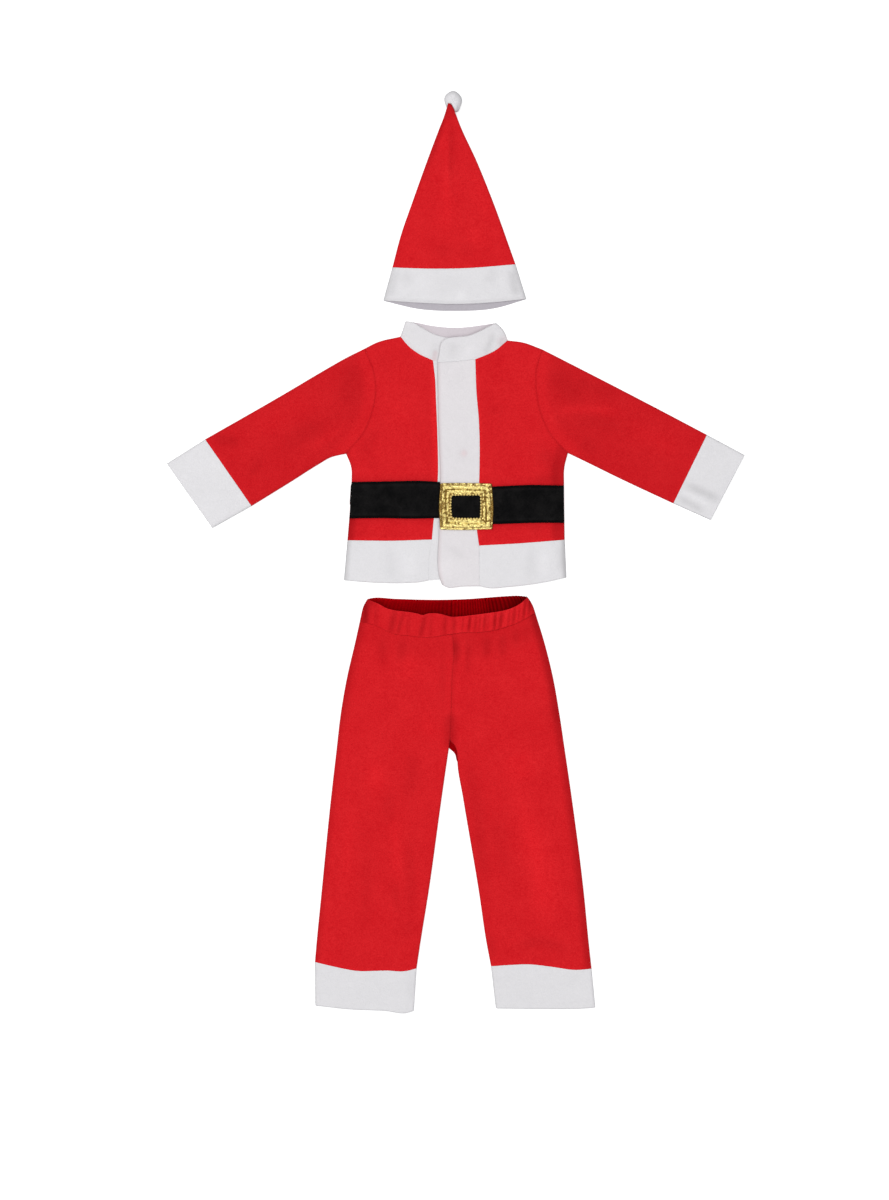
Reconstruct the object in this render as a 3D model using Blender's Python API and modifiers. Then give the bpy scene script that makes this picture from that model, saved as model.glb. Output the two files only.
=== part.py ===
"""A child's santa suit laid flat on a table: a pointed hat, a belted jacket and trousers.

Every garment is two layers of cloth lying on each other. A panel is a grid of squares stretched
between its four seam lines, given a height over the table and then a wall with Solidify. Where two
panels meet at the side of a garment, both are rounded towards each other and stop half way up.

Tables are in millimetres, x to the right, y up towards the hat, seen from above. The origin is on
the table under the middle of the suit.
"""

import bisect
import math
from collections import namedtuple

import bmesh
import bpy
import numpy as np

MM = 0.001

# Cloth
FLEECE = 2.0  # wall of a single layer
BAND = 2.4  # wall of a folded white band or a gathered waistband
FELT = 1.5  # wall of the belt
LAME = 2.0  # wall of the padded gold buckle
SEAM_GAP = 0.3  # space left between two pieces that are sewn or lie on each other
CORNER_GAP = 0.5  # one piece's share of that space where the folds of two pieces meet at an angle
SEAM_REACH = 3.0  # how far from a seam the cloth is drawn in to leave that space

# How the two layers of a garment lie
SEAM_HEIGHT = 3.4  # height of the side seams, half of the garment's thickness at its edge
CROWN = 6.7  # height of the upper layer
ROLL = 4.5  # width over which an edge rounds down to its seam
# That rounding, from the seam inwards: shares of its width and of the layer's height
ROLL_WIDTHS = (0.0, 0.012, 0.3, 1.0)
ROLL_HEIGHTS = (0.0, 0.38, 0.84, 1.0)
SIDE_GAP = 0.5  # between the edges of the two layers

Point = namedtuple("Point", "x y")
Fold = namedtuple("Fold", "x1 y1 x2 y2 width rise")
Gather = namedtuple("Gather", "x width depth")
Fastener = namedtuple("Fastener", "name x y radius")


def line(*pairs):
    """A short table of points, columns x and y."""
    return [Point(*pair) for pair in pairs]


# ---------------------------------------------------------------- seam lines of the hat

BRIM_SEAM_LEFT = Point(-100.0, 456.0)
BRIM_SEAM_RIGHT = Point(94.4, 459.2)
BRIM_LOW_LEFT = Point(-114.4, 404.5)
BRIM_LOW_RIGHT = Point(111.2, 407.5)
HAT_TIP_LEFT = Point(-14.0, 712.0)
HAT_TIP_RIGHT = Point(-7.5, 712.0)
BRIM_SEAM = line(BRIM_SEAM_LEFT, (-60.0, 455.3), (20.0, 454.4), BRIM_SEAM_RIGHT)
BRIM_LOW_FRONT = line(BRIM_LOW_LEFT, (-60.0, 398.6), (0.0, 396.8), (60.0, 399.6), BRIM_LOW_RIGHT)
BRIM_LOW_BACK = line(BRIM_LOW_LEFT, (-60.0, 390.0), (0.0, 385.6), (60.0, 391.0), BRIM_LOW_RIGHT)
HAT_LEFT = line(BRIM_SEAM_LEFT, (-68.8, 562.4), (-46.4, 626.4), (-27.2, 677.6), (-17.0, 702.0), HAT_TIP_LEFT)
HAT_RIGHT = line(BRIM_SEAM_RIGHT, (57.6, 562.4), (32.0, 626.4), (8.0, 677.6), (-3.0, 700.0), HAT_TIP_RIGHT)

POMPOM_WIDTH = 28.0
POMPOM_LENGTH = 32.0
POMPOM_HEIGHT = 23.0
POMPOM_MIDDLE = Point(-3.8, 720.8)
POMPOM_REST = 0.16  # share of its height where the ball is pressed flat on the table
POMPOM_TAPER = 0.25  # the ball narrows towards the hat
POMPOM_LEAN = 4.0  # and hangs to the right
POMPOM_HOLLOW = 7.0  # width over which it rises beside the hat's tip
TIP_BEND = 697.0  # from here the hat's tip climbs the ball
TIP_RISE = 9.0
TIP_SLOPE = 0.35  # the tip's middle moves to the right by this much a millimetre downwards
TIP_HALF = 7.0
BRIM_OPEN = 1.4  # the brim's mouth stands this much more open

# ---------------------------------------------------------------- seam lines of the jacket

NECK_LEFT = Point(-89.0, 344.0)
NECK_RIGHT = Point(82.4, 337.9)
ARM_TOP_LEFT = Point(-144.8, 322.4)
ARM_TOP_RIGHT = Point(136.8, 321.6)
UNDERARM_LEFT = Point(-176.2, 157.1)
UNDERARM_RIGHT = Point(178.7, 157.1)
HEM_SEAM_LEFT = Point(-172.8, 18.7)
HEM_SEAM_RIGHT = Point(172.3, 20.0)
HEM_LEFT = Point(-178.4, -43.8)
HEM_RIGHT = Point(176.0, -39.8)

UNDERARM_SHARE = 0.46  # where the corners of a panel's sides fall in its grid
SHOULDER_SHARE = 0.45
NECK_SHARES = (0.2, 0.8)
HEM_SHARE = 0.19
HEM_ROWS = 2

SHOULDER_LEFT = line(ARM_TOP_LEFT, (-128.0, 335.2), NECK_LEFT)
SHOULDER_RIGHT = line(NECK_RIGHT, (107.2, 335.2), ARM_TOP_RIGHT)
ARMHOLE_LEFT = line(
    UNDERARM_LEFT, (-145.4, 194.1), (-135.0, 220.6), (-128.2, 256.2), (-132.0, 288.8), ARM_TOP_LEFT
)
ARMHOLE_RIGHT = line(
    UNDERARM_RIGHT, (150.6, 188.2), (135.7, 220.6), (128.3, 259.2), (128.3, 288.8), ARM_TOP_RIGHT
)
SIDE_LEFT = line(HEM_SEAM_LEFT, (-169.6, 54.7), (-166.4, 111.2), (-168.0, 135.0), UNDERARM_LEFT)
SIDE_RIGHT = line(HEM_SEAM_RIGHT, (172.3, 47.2), (171.5, 105.6), (173.0, 135.2), UNDERARM_RIGHT)
NECK_BACK = line(NECK_LEFT, (-62.0, 327.0), (-3.0, 319.0), (55.0, 323.0), NECK_RIGHT)

LEFT_EDGE_TOP = Point(-37.6, 306.1)
LEFT_EDGE_LOW = Point(-40.0, 20.8)
HEM_SPLIT_LEFT = Point(-44.0, -45.5)
NECK_FRONT_LEFT = line(NECK_LEFT, (-75.5, 328.2), (-60.8, 317.1), LEFT_EDGE_TOP)
LEFT_EDGE = line(
    LEFT_EDGE_LOW, (-36.5, 50.0), (-29.6, 105.0), (-28.8, 194.0), (-32.0, 274.0), LEFT_EDGE_TOP
)
HEM_SEAM_FRONT_LEFT = line(HEM_SEAM_LEFT, (-100.0, 19.0), LEFT_EDGE_LOW)
HEM_SPLIT_LINE_LEFT = line(HEM_SPLIT_LEFT, (-43.5, -12.0), LEFT_EDGE_LOW)
HEM_LOW_LEFT = line(HEM_LEFT, (-147.2, -47.5), (-83.2, -50.1), (-57.6, -48.2), HEM_SPLIT_LEFT)

PLACKET_TOP_LEFT = Point(-29.0, 301.8)
PLACKET_TOP_RIGHT = Point(29.6, 306.9)
PLACKET_LOW_LEFT = Point(-22.5, -51.5)
PLACKET_LOW_RIGHT = Point(37.8, -54.7)
HEM_SPLIT_RIGHT = Point(36.8, 10.4)
PLACKET_FOLD = line(
    PLACKET_LOW_LEFT, (-24.5, -45.8), (-27.4, 34.0), (-25.0, 114.0), (-27.0, 210.0), PLACKET_TOP_LEFT
)
PLACKET_SEAM_LOW = line(PLACKET_LOW_RIGHT, HEM_SPLIT_RIGHT)
PLACKET_SEAM = line(
    HEM_SPLIT_RIGHT, (32.5, 37.6), (36.3, 114.4), (36.0, 210.4), (31.0, 255.0), PLACKET_TOP_RIGHT
)
PLACKET_TOP = line(PLACKET_TOP_LEFT, (0.3, 303.7), PLACKET_TOP_RIGHT)
PLACKET_HEM = line(PLACKET_LOW_LEFT, (-17.0, -55.6), (10.0, -55.2), PLACKET_LOW_RIGHT)
NECK_FRONT_RIGHT = line(PLACKET_TOP_RIGHT, (43.2, 312.2), (61.6, 320.8), NECK_RIGHT)
HEM_SEAM_FRONT_RIGHT = line(HEM_SPLIT_RIGHT, (98.4, 14.1), HEM_SEAM_RIGHT)
HEM_LOW_RIGHT = line(PLACKET_LOW_RIGHT, (52.5, -57.6), (83.5, -56.2), (142.7, -47.2), HEM_RIGHT)
HEM_SIDE_LEFT = line(HEM_LEFT, HEM_SEAM_LEFT)
HEM_SIDE_RIGHT = line(HEM_RIGHT, HEM_SEAM_RIGHT)
HEM_SEAM_BACK = line(HEM_SEAM_LEFT, (0.0, 14.0), HEM_SEAM_RIGHT)
HEM_LOW_BACK = line(HEM_LEFT, (-80.0, -44.0), (0.0, -42.5), (90.0, -44.0), HEM_RIGHT)

UNDERLAP_TOP_RIGHT = Point(18.0, 303.5)
UNDERLAP_LOW_RIGHT = Point(18.0, -44.3)
UNDERLAP_TOP = line(LEFT_EDGE_TOP, (-10.0, 302.5), UNDERLAP_TOP_RIGHT)
UNDERLAP_LOW = line(HEM_SPLIT_LEFT, (-20.0, -44.3), UNDERLAP_LOW_RIGHT)
UNDERLAP_EDGE = line(UNDERLAP_LOW_RIGHT, UNDERLAP_TOP_RIGHT)

SLEEVE_LOW_LEFT = line(UNDERARM_LEFT, (-201.0, 151.4), (-264.0, 112.7), (-326.7, 74.2))
SLEEVE_TOP_LEFT = line(ARM_TOP_LEFT, (-272.0, 251.5), (-400.5, 178.7))
SLEEVE_LOW_RIGHT = line(UNDERARM_RIGHT, (191.2, 151.0), (269.0, 114.5), (347.4, 78.1))
SLEEVE_TOP_RIGHT = line(ARM_TOP_RIGHT, (205.0, 289.0), (303.0, 238.0), (400.8, 186.7))
CUFF_SEAM_LEFT = line((-326.7, 74.2), (-400.5, 178.7))
CUFF_SEAM_RIGHT = line((347.4, 78.1), (400.8, 186.7))
CUFF_END_LEFT = line((-388.0, 39.7), (-424.6, 90.0), (-460.8, 140.3))
CUFF_END_RIGHT = line((407.2, 51.0), (434.5, 103.0), (460.8, 154.4))

# Collar: a strip from its left end, round the left side, behind the neck and round the right side
COLLAR_LEFT_TOP = Point(-79.5, 368.5)
COLLAR_RIGHT_TOP = Point(64.0, 365.4)
COLLAR_END_TOP = Point(19.0, 339.5)
COLLAR_LEFT_SHARE = 0.42
COLLAR_RIGHT_SHARE = 0.48
TAB_TOP = Point(-19.5, 338.6)
COLLAR_LEFT_RIM = line(
    COLLAR_END_TOP, (-11.8, 342.7), (-38.9, 349.6), (-56.0, 360.0), (-68.2, 367.2), COLLAR_LEFT_TOP
)
COLLAR_BACK_RIM = line(COLLAR_LEFT_TOP, (-48.6, 363.0), (-2.1, 357.4), (49.3, 363.0), COLLAR_RIGHT_TOP)
COLLAR_RIGHT_RIM = line(
    COLLAR_RIGHT_TOP, (49.3, 357.6), (34.7, 350.1), (18.7, 345.3), (2.9, 344.0), (-11.0, 342.7), TAB_TOP
)
COLLAR_LEFT_FOLD = line(NECK_LEFT, COLLAR_LEFT_TOP)
COLLAR_RIGHT_FOLD = line(NECK_RIGHT, (73.8, 355.0), COLLAR_RIGHT_TOP)
COLLAR_LEFT_END = line(UNDERLAP_TOP_RIGHT, COLLAR_END_TOP)
TAB_END = line(PLACKET_TOP_LEFT, (-26.3, 319.0), (-23.6, 332.5), TAB_TOP)

# Heights at the front closure: the underlap is pressed down, the placket lies over it
UNDERLAP_HEIGHT = 4.9
PLACKET_HEIGHT = 9.1
UNDERLAP_PRESSED = (-54.0, -22.0)  # the left front sinks between these two x
OVERLAP_RISE = (36.0, 84.0)  # the right front comes down to the left layer between these two x
PLACKET_FOLD_DROP = 3.5
FASTENER_ROOM = 0.3
FASTENER_THICK = 0.9
FASTENERS = (
    Fastener("fastener_upper", 1.0, 282.0, 12.5),
    Fastener("fastener_lower", 10.5, 157.0, 6.0),
)

# Belt and buckle
BELT_GAP = 0.7  # between the belt and the panel, whose squares are coarser
BELT_LEFT_TOP = line((-164.6, 111.6), (-90.0, 112.2), (-26.6, 111.4))
BELT_LEFT_LOW = line((-167.4, 54.6), (-90.0, 55.0), (-29.4, 55.8))
BELT_RIGHT_TOP = line((-19.5, 104.6), (60.0, 104.8), (169.6, 105.0))
BELT_RIGHT_LOW = line((-19.5, 47.6), (60.0, 47.2), (170.3, 46.8))
BELT_BEND = 0.03  # share of its length where the belt bends down towards the side seam
BUCKLE_MIDDLE = Point(16.3, 72.4)
BUCKLE_SIZE = Point(84.0, 74.0)
BUCKLE_OPENING = Point(46.4, 34.7)
BUCKLE_SQUARENESS = 11  # power of the rounded rectangle
BUCKLE_STEPS = 36
BUCKLE_BORDER = (0.0, 0.2, 0.8, 1.0)  # shares of the border where its rows run
BUCKLE_EDGE_DROP = 0.8  # the frame's outer and inner edges are stitched down by this much

# ---------------------------------------------------------------- seam lines of the trousers

WAIST_LEFT = Point(-141.0, -77.0)
WAIST_RIGHT = Point(114.5, -73.0)
WAIST_SEAM_LEFT = Point(-154.6, -111.0)
WAIST_SEAM_RIGHT = Point(127.0, -98.5)
WAIST_SEAM_FRONT = Point(-6.0, -132.0)
WAIST_SEAM_BACK = Point(-8.0, -119.0)
CROTCH_FRONT = Point(-10.5, -312.0)
CROTCH_BACK = Point(-7.0, -327.0)
CROTCH_SHARE = 0.65
LEG_COLUMNS = 6
CUFF_OUTER_LEFT = Point(-225.4, -655.2)
CUFF_INNER_LEFT = Point(-64.0, -664.8)
CUFF_INNER_RIGHT = Point(56.0, -661.6)
CUFF_OUTER_RIGHT = Point(216.4, -666.4)

WAIST_SIDE_LEFT = line(WAIST_SEAM_LEFT, (-153.0, -104.0), (-148.8, -87.2), WAIST_LEFT)
WAIST_SIDE_RIGHT = line(WAIST_SEAM_RIGHT, (123.2, -87.2), (120.0, -80.8), WAIST_RIGHT)
WAIST_TOP_FRONT = line(
    WAIST_LEFT, (-110.4, -90.4), (-70.4, -96.8), (-6.4, -104.0), (48.8, -99.4), (84.8, -92.0), WAIST_RIGHT
)
WAIST_TOP_BACK = line(WAIST_LEFT, (-132.0, -75.0), (-25.0, -76.0), (70.0, -71.4), (107.0, -70.8), WAIST_RIGHT)
WAIST_SEAM_FRONT_LEFT = line(
    WAIST_SEAM_LEFT, (-128.0, -118.7), (-100.3, -132.0), (-77.9, -134.6), (-49.3, -137.6), WAIST_SEAM_FRONT
)
WAIST_SEAM_FRONT_RIGHT = line(
    WAIST_SEAM_FRONT, (7.8, -129.9), (39.5, -126.4), (61.9, -126.9), (99.7, -113.6), WAIST_SEAM_RIGHT
)
WAIST_SEAM_BACK_LEFT = line(WAIST_SEAM_LEFT, (-80.0, -117.0), WAIST_SEAM_BACK)
WAIST_SEAM_BACK_RIGHT = line(WAIST_SEAM_BACK, (60.0, -111.0), WAIST_SEAM_RIGHT)
CENTRE_FRONT = line(CROTCH_FRONT, (-8.6, -270.0), (-6.0, -198.0), (-3.0, -150.0), WAIST_SEAM_FRONT)
CENTRE_BACK = line(CROTCH_BACK, (-8.0, -220.0), WAIST_SEAM_BACK)
OUTER_LEFT = line(
    CUFF_OUTER_LEFT, (-223.6, -624.8), (-216.0, -548.0), (-200.0, -394.4), (-192.0, -317.6),
    (-185.6, -260.0), (-176.0, -202.4), (-161.6, -144.8), WAIST_SEAM_LEFT,
)
OUTER_RIGHT = line(
    CUFF_OUTER_RIGHT, (211.2, -624.8), (203.2, -548.0), (184.0, -394.4), (172.8, -317.6),
    (164.8, -260.0), (155.2, -202.4), (140.8, -144.8), WAIST_SEAM_RIGHT,
)
INSEAM_LEFT = line(CUFF_INNER_LEFT, (-57.6, -624.8), (-44.8, -548.0), (-24.0, -394.4), (-16.0, -336.8))
INSEAM_RIGHT = line(CUFF_INNER_RIGHT, (48.0, -624.8), (36.8, -548.0), (11.2, -394.4), (1.6, -336.8))
FRONT_INSEAM_LEFT = line(*INSEAM_LEFT, CROTCH_FRONT)
FRONT_INSEAM_RIGHT = line(*INSEAM_RIGHT, (-1.0, -326.0), CROTCH_FRONT)
BACK_INSEAM_LEFT = line(*INSEAM_LEFT, CROTCH_BACK)
BACK_INSEAM_RIGHT = line(*INSEAM_RIGHT, CROTCH_BACK)
LEG_CUFF_SEAM_LEFT = line(
    CUFF_INNER_LEFT, (-80.0, -669.2), (-112.0, -668.4), (-160.0, -669.0), (-192.0, -663.2), CUFF_OUTER_LEFT
)
LEG_CUFF_SEAM_RIGHT = line(
    CUFF_INNER_RIGHT, (89.6, -660.4), (113.6, -658.8), (153.6, -663.2), (190.4, -667.6), CUFF_OUTER_RIGHT
)
LEG_CUFF_LOW_LEFT = line(
    (-67.5, -734.2), (-80.0, -737.5), (-112.0, -734.5), (-170.0, -732.0), (-225.2, -726.5)
)
LEG_CUFF_LOW_RIGHT = line((64.0, -728.5), (134.4, -731.2), (201.6, -731.2), (222.2, -727.5))

# ---------------------------------------------------------------- folds and gathers

FOLDS = (
    # hat: a soft ridge down the middle, hollows beside it, a dip in the brim
    Fold(-15, 560, -20, 640, 14, 1.0),
    Fold(8, 690, 2, 590, 8, -1.6),
    Fold(-40, 480, -10, 560, 22, -0.8),
    Fold(55, 480, 20, 560, 20, 0.9),
    Fold(93, 448, 92, 412, 10, -0.9),
    # left sleeve: hollow under the shoulder, ridge along the arm, hollow at the elbow
    Fold(-150, 300, -190, 250, 20, -1.4),
    Fold(-190, 240, -330, 160, 18, 1.0),
    Fold(-240, 150, -290, 170, 16, -1.3),
    # right sleeve: two hollows fan out from the shoulder with a ridge between them
    Fold(150, 285, 200, 270, 14, -1.4),
    Fold(150, 235, 240, 225, 13, 1.3),
    Fold(185, 200, 280, 205, 15, -1.2),
    Fold(250, 180, 360, 140, 18, 0.9),
    Fold(355, 100, 425, 80, 7, -1.2),
    # jacket: corners under the arms, waves of the hem
    Fold(-120, 170, -160, 130, 18, -0.9),
    Fold(130, 170, 165, 115, 18, -1.2),
    Fold(-115, 10, -100, -40, 14, 0.9),
    Fold(120, 5, 112, -45, 13, -0.9),
    Fold(-8, 5, 15, -12, 8, -0.7),
    # trousers: short creases below the waistband
    Fold(-92, -145, -86, -215, 9, -1.3),
    Fold(3, -145, 2, -210, 8, -1.2),
    Fold(24, -140, 22, -190, 7, -0.9),
    Fold(52, -140, 50, -200, 8, -1.1),
    Fold(80, -138, 82, -185, 9, -0.9),
    # trousers: long soft waves down the legs
    Fold(-85, -360, -110, -640, 20, 1.1),
    Fold(-60, -400, -85, -640, 11, -1.0),
    Fold(-150, -300, -185, -620, 24, -0.8),
    Fold(60, -330, 88, -620, 18, -1.2),
    Fold(95, -300, 150, -600, 26, 1.2),
)

FRONT_GATHERS = (
    Gather(-142, 5, 1.0),
    Gather(-128, 4, 0.7),
    Gather(-103, 6, 1.4),
    Gather(-90, 4, 0.8),
    Gather(-56, 6, 1.2),
    Gather(-36, 4, 0.6),
    Gather(-14, 4, 0.8),
    Gather(4, 3.5, 1.1),
    Gather(13, 3, 0.8),
    Gather(23, 3.5, 1.2),
    Gather(33, 3.5, 1.0),
    Gather(43, 3, 0.8),
    Gather(53, 3.5, 1.3),
    Gather(64, 3.5, 1.1),
    Gather(74, 3, 1.0),
    Gather(84, 3.5, 1.3),
    Gather(95, 4, 1.1),
    Gather(106, 4, 1.3),
    Gather(117, 4, 1.0),
)
WIDE_GATHER = 14.0  # from this spacing on, a gather has its own two shoulders in the grid
BACK_GATHERS = 22
BACK_GATHER_DEPTH = 1.0
WAISTBAND_WALL = 2.2
WAISTBAND_HEIGHT = 8.4
WAISTBAND_SWELL = (0.15, 0.9)  # the casing's rounding from its seam to its top, as parts of half a turn


# ---------------------------------------------------------------- lines and grids


def smooth_line(points, per_span=8):
    """A smooth line through the points (Catmull-Rom by length), as many short straight steps."""
    points = np.array([tuple(point) for point in points], float)
    spans = np.diff(points, axis=0)
    lengths = np.linalg.norm(spans, axis=1, keepdims=True)
    courses = spans / lengths
    turns = (courses[:-1] * lengths[1:] + courses[1:] * lengths[:-1]) / (lengths[:-1] + lengths[1:])
    slopes = np.vstack([courses[:1], turns, courses[-1:]])
    steps = []
    for index, length in enumerate(lengths):
        for share in np.arange(per_span) / per_span:
            square, cube = share**2, share**3
            steps.append(
                (2 * cube - 3 * square + 1) * points[index]
                + (cube - 2 * square + share) * slopes[index] * length
                + (3 * square - 2 * cube) * points[index + 1]
                + (cube - square) * slopes[index + 1] * length
            )
    return np.vstack([steps, points[-1]])


class Edge:
    """One side of a panel: smooth stretches that meet at corners, read by a share from 0 to 1."""

    def __init__(self, *stretches, corners=(), smooth=True):
        self.stations = (0.0, *corners, 1.0)
        self.lines = [smooth_line(points) if smooth else np.array(points) for points in stretches]

    def at(self, share):
        index = min(bisect.bisect_right(self.stations, share) - 1, len(self.lines) - 1)
        low, high = self.stations[index], self.stations[index + 1]
        points = self.lines[index]
        lengths = np.concatenate([[0], np.cumsum(np.linalg.norm(np.diff(points, axis=0), axis=1))])
        reach = (share - low) / (high - low) * lengths[-1]
        return np.array([np.interp(reach, lengths, points[:, axis]) for axis in (0, 1)])


def shares(length, count, rolled=(False, False)):
    """Where the grid's lines cross an edge: close together over a rounding, even elsewhere."""
    width = min(ROLL / length, 0.42)
    start = [width * step for step in ROLL_WIDTHS[:-1]] if rolled[0] else []
    end = [1 - width * step for step in ROLL_WIDTHS[-2::-1]] if rolled[1] else []
    low = width if rolled[0] else 0.0
    high = 1 - width if rolled[1] else 1.0
    return np.array([*start, *np.linspace(low, high, count + 1), *end])


def divide(count, rolled=(False, False)):
    """The shares rule, waiting for the length of each row."""
    return lambda length: shares(length, count, rolled)


ALL_SIDES = ("left", "right", "bottom", "top")


def joined(corners, *parts):
    """The shares of several stretches one after another, each in its own part of the edge."""
    marks = (0.0, *corners, 1.0)
    found = [0.0]
    for part, low, high in zip(parts, marks, marks[1:]):
        found += list(low + (high - low) * part[1:])
    return lambda length: np.array(found)


def between(first, second):
    return math.hypot(second[0] - first[0], second[1] - first[1])


def patch(bottom, top, left, right, across, along):
    """The Coons patch between four edges. across and along give the shares for a length."""
    corner = {(s, v): (bottom, top)[v].at(s) for s in (0, 1) for v in (0, 1)}
    width = [np.linalg.norm(right.at(v) - left.at(v)) for v in along(1000.0)]
    columns = len(across(width[0]))
    height = [np.linalg.norm(top.at(s) - bottom.at(s)) for s in across(max(width))]
    grid = np.zeros((columns, len(width), 2))
    for j, row_width in enumerate(width):
        for i, s in enumerate(across(row_width)):
            v = along(height[i])[j]
            ruled = (1 - v) * bottom.at(s) + v * top.at(s) + (1 - s) * left.at(v) + s * right.at(v)
            plane = (1 - s) * ((1 - v) * corner[0, 0] + v * corner[0, 1])
            plane = plane + s * ((1 - v) * corner[1, 0] + v * corner[1, 1])
            grid[i, j] = ruled - plane
    return grid


def part_seams(points, sides, gap):
    """Draw the named sides of a grid back from their seam lines, to part the pieces there."""
    turned = points.swapaxes(0, 1)
    views = {"left": points, "right": points[::-1], "bottom": turned, "top": turned[::-1]}
    for side in sides:
        lines = views[side][..., :2]
        reach = np.linalg.norm(lines - lines[0], axis=-1)
        fixed = int(np.argmax(reach.mean(axis=1) > SEAM_REACH))
        kept = 1 - gap / np.maximum(reach[fixed], SEAM_REACH / 2)
        lines[:fixed] = lines[fixed] + (lines[:fixed] - lines[fixed]) * kept[:, None]


def distance(grid, points):
    """The distance from each point of a grid to a line."""
    start = points[:-1]
    step = points[1:] - start
    away = grid[..., None, :] - start
    share = np.clip((away * step).sum(-1) / np.maximum((step**2).sum(-1), 1e-9), 0, 1)
    return np.linalg.norm(away - share[..., None] * step, axis=-1).min(-1)


def rounding(grid, *seams, width=ROLL):
    """1 inside a panel and 0 on its side seams, with a round shoulder between."""
    value = np.ones(grid.shape[:-1])
    for seam in seams:
        near = distance(grid, smooth_line(seam)) / width
        value = value * np.interp(near, ROLL_WIDTHS, ROLL_HEIGHTS)
    return value


def ease(value, low, high):
    """0 below low, 1 above high, and a smooth step between them."""
    share = np.clip((value - low) / (high - low), 0, 1)
    return share * share * (3 - 2 * share)


# ---------------------------------------------------------------- heights of the layers


def folds(grid):
    """The sum of all soft folds at each point of a grid."""
    total = np.zeros(grid.shape[:-1])
    for fold in FOLDS:
        ends = np.array([[fold.x1, fold.y1], [fold.x2, fold.y2]], float)
        total += fold.rise * np.exp(-((distance(grid, ends) / fold.width) ** 2))
    return total


def upper_height(grid):
    return CROWN + folds(grid)


def under_height(grid):
    """The left front and the underlap: pressed down where the placket lies on them."""
    pressed = ease(grid[..., 0], *UNDERLAP_PRESSED)
    return upper_height(grid) * (1 - pressed) + UNDERLAP_HEIGHT * pressed


def over_height(grid):
    """The placket and the right front: over the underlap, then down on the back."""
    lowered = ease(grid[..., 0], *OVERLAP_RISE)
    return (PLACKET_HEIGHT + folds(grid) / 2) * (1 - lowered) + upper_height(grid) * lowered


def with_height(grid, height):
    return np.concatenate([grid, height[..., None]], axis=-1)


def upper_layer(grid, height, *seams):
    """An upper panel, rounded down to its side seams."""
    low = SEAM_HEIGHT + SIDE_GAP / 2
    return with_height(grid, low + (height - low) * rounding(grid, *seams))


def lower_layer(grid, *seams):
    """A lower panel, flat on the table and rounded up to its side seams."""
    return with_height(grid, (SEAM_HEIGHT - SIDE_GAP / 2) * (1 - rounding(grid, *seams)))


def wrapped(front, back, height, sides, lift=0.0):
    """A piece folded into a flat tube: over the front, round its fold, back to its seam."""
    width = np.minimum(ROLL, 0.42 * np.linalg.norm(front[-1] - front[0], axis=-1))
    upper = SEAM_HEIGHT + (height - SEAM_HEIGHT) * rounding(front, *sides, width=width)
    lower = SEAM_HEIGHT * (1 - rounding(back, *sides, width=width))
    upper[0] += SIDE_GAP / 2
    lower[0] -= SIDE_GAP / 2
    return np.concatenate([with_height(front, upper + lift), with_height(back, lower + lift)[-2::-1]])


def laid_on(grid, height, lift):
    """Points over a panel, moved out along the panel's own slope."""
    step = 0.2
    slope_x = (height(grid + (step, 0)) - height(grid - (step, 0))) / (2 * step)
    slope_y = (height(grid + (0, step)) - height(grid - (0, step))) / (2 * step)
    normal = np.stack([-slope_x, -slope_y, np.ones_like(slope_x)], axis=-1)
    normal /= np.linalg.norm(normal, axis=-1, keepdims=True)
    return with_height(grid, height(grid)) + normal * lift


# ---------------------------------------------------------------- objects


def clear_scene():
    for thing in list(bpy.data.objects):
        bpy.data.objects.remove(thing, do_unlink=True)


def make_material(name, colour, roughness, metallic=0.0):
    material = bpy.data.materials.new(name)
    material.use_nodes = True
    shader = material.node_tree.nodes["Principled BSDF"]
    shader.inputs["Base Color"].default_value = (*colour, 1.0)
    shader.inputs["Roughness"].default_value = roughness
    shader.inputs["Metallic"].default_value = metallic
    return material


def add_object(name, mesh_data, material):
    """Put a mesh in the suit's collection under its own name, shaded smooth over its soft edges."""
    mesh = bpy.data.meshes.new(name)
    mesh_data.to_mesh(mesh)
    mesh_data.free()
    mesh.materials.append(material)
    mesh.shade_smooth()
    mesh.set_sharp_from_angle(angle=math.radians(50))
    thing = bpy.data.objects.new(name, mesh)
    SUIT.objects.link(thing)
    return thing


def sheet(name, points, wall, material, parted=(), outward=1, closed=False, gap=SEAM_GAP / 2):
    """Cloth through a grid of outer points, with its wall inside. outward is 1 up, -1 down."""
    part_seams(points, parted, gap)
    middle = points.shape[0] // 4
    across = points[middle + 1, 1] - points[middle, 1]
    along = points[middle, 2] - points[middle, 1]
    if (across[0] * along[1] - across[1] * along[0]) * outward < 0:
        points = points[:, ::-1]
    columns, rows = points.shape[0] - 1, points.shape[1] - 1
    mesh_data = bmesh.new()
    bmesh.ops.create_grid(mesh_data, x_segments=columns, y_segments=rows, size=1)
    for vert in mesh_data.verts:
        i = round((vert.co.x + 1) / 2 * columns)
        j = round((vert.co.y + 1) / 2 * rows)
        vert.co = points[i, j] * MM
    if closed:
        bmesh.ops.remove_doubles(mesh_data, verts=mesh_data.verts, dist=0.001 * MM)
    thing = add_object(name, mesh_data, material)
    solidify = thing.modifiers.new("wall", "SOLIDIFY")
    solidify.thickness = wall * MM
    solidify.offset = -1
    solidify.use_even_offset = False
    return thing


# ---------------------------------------------------------------- the hat


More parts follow.
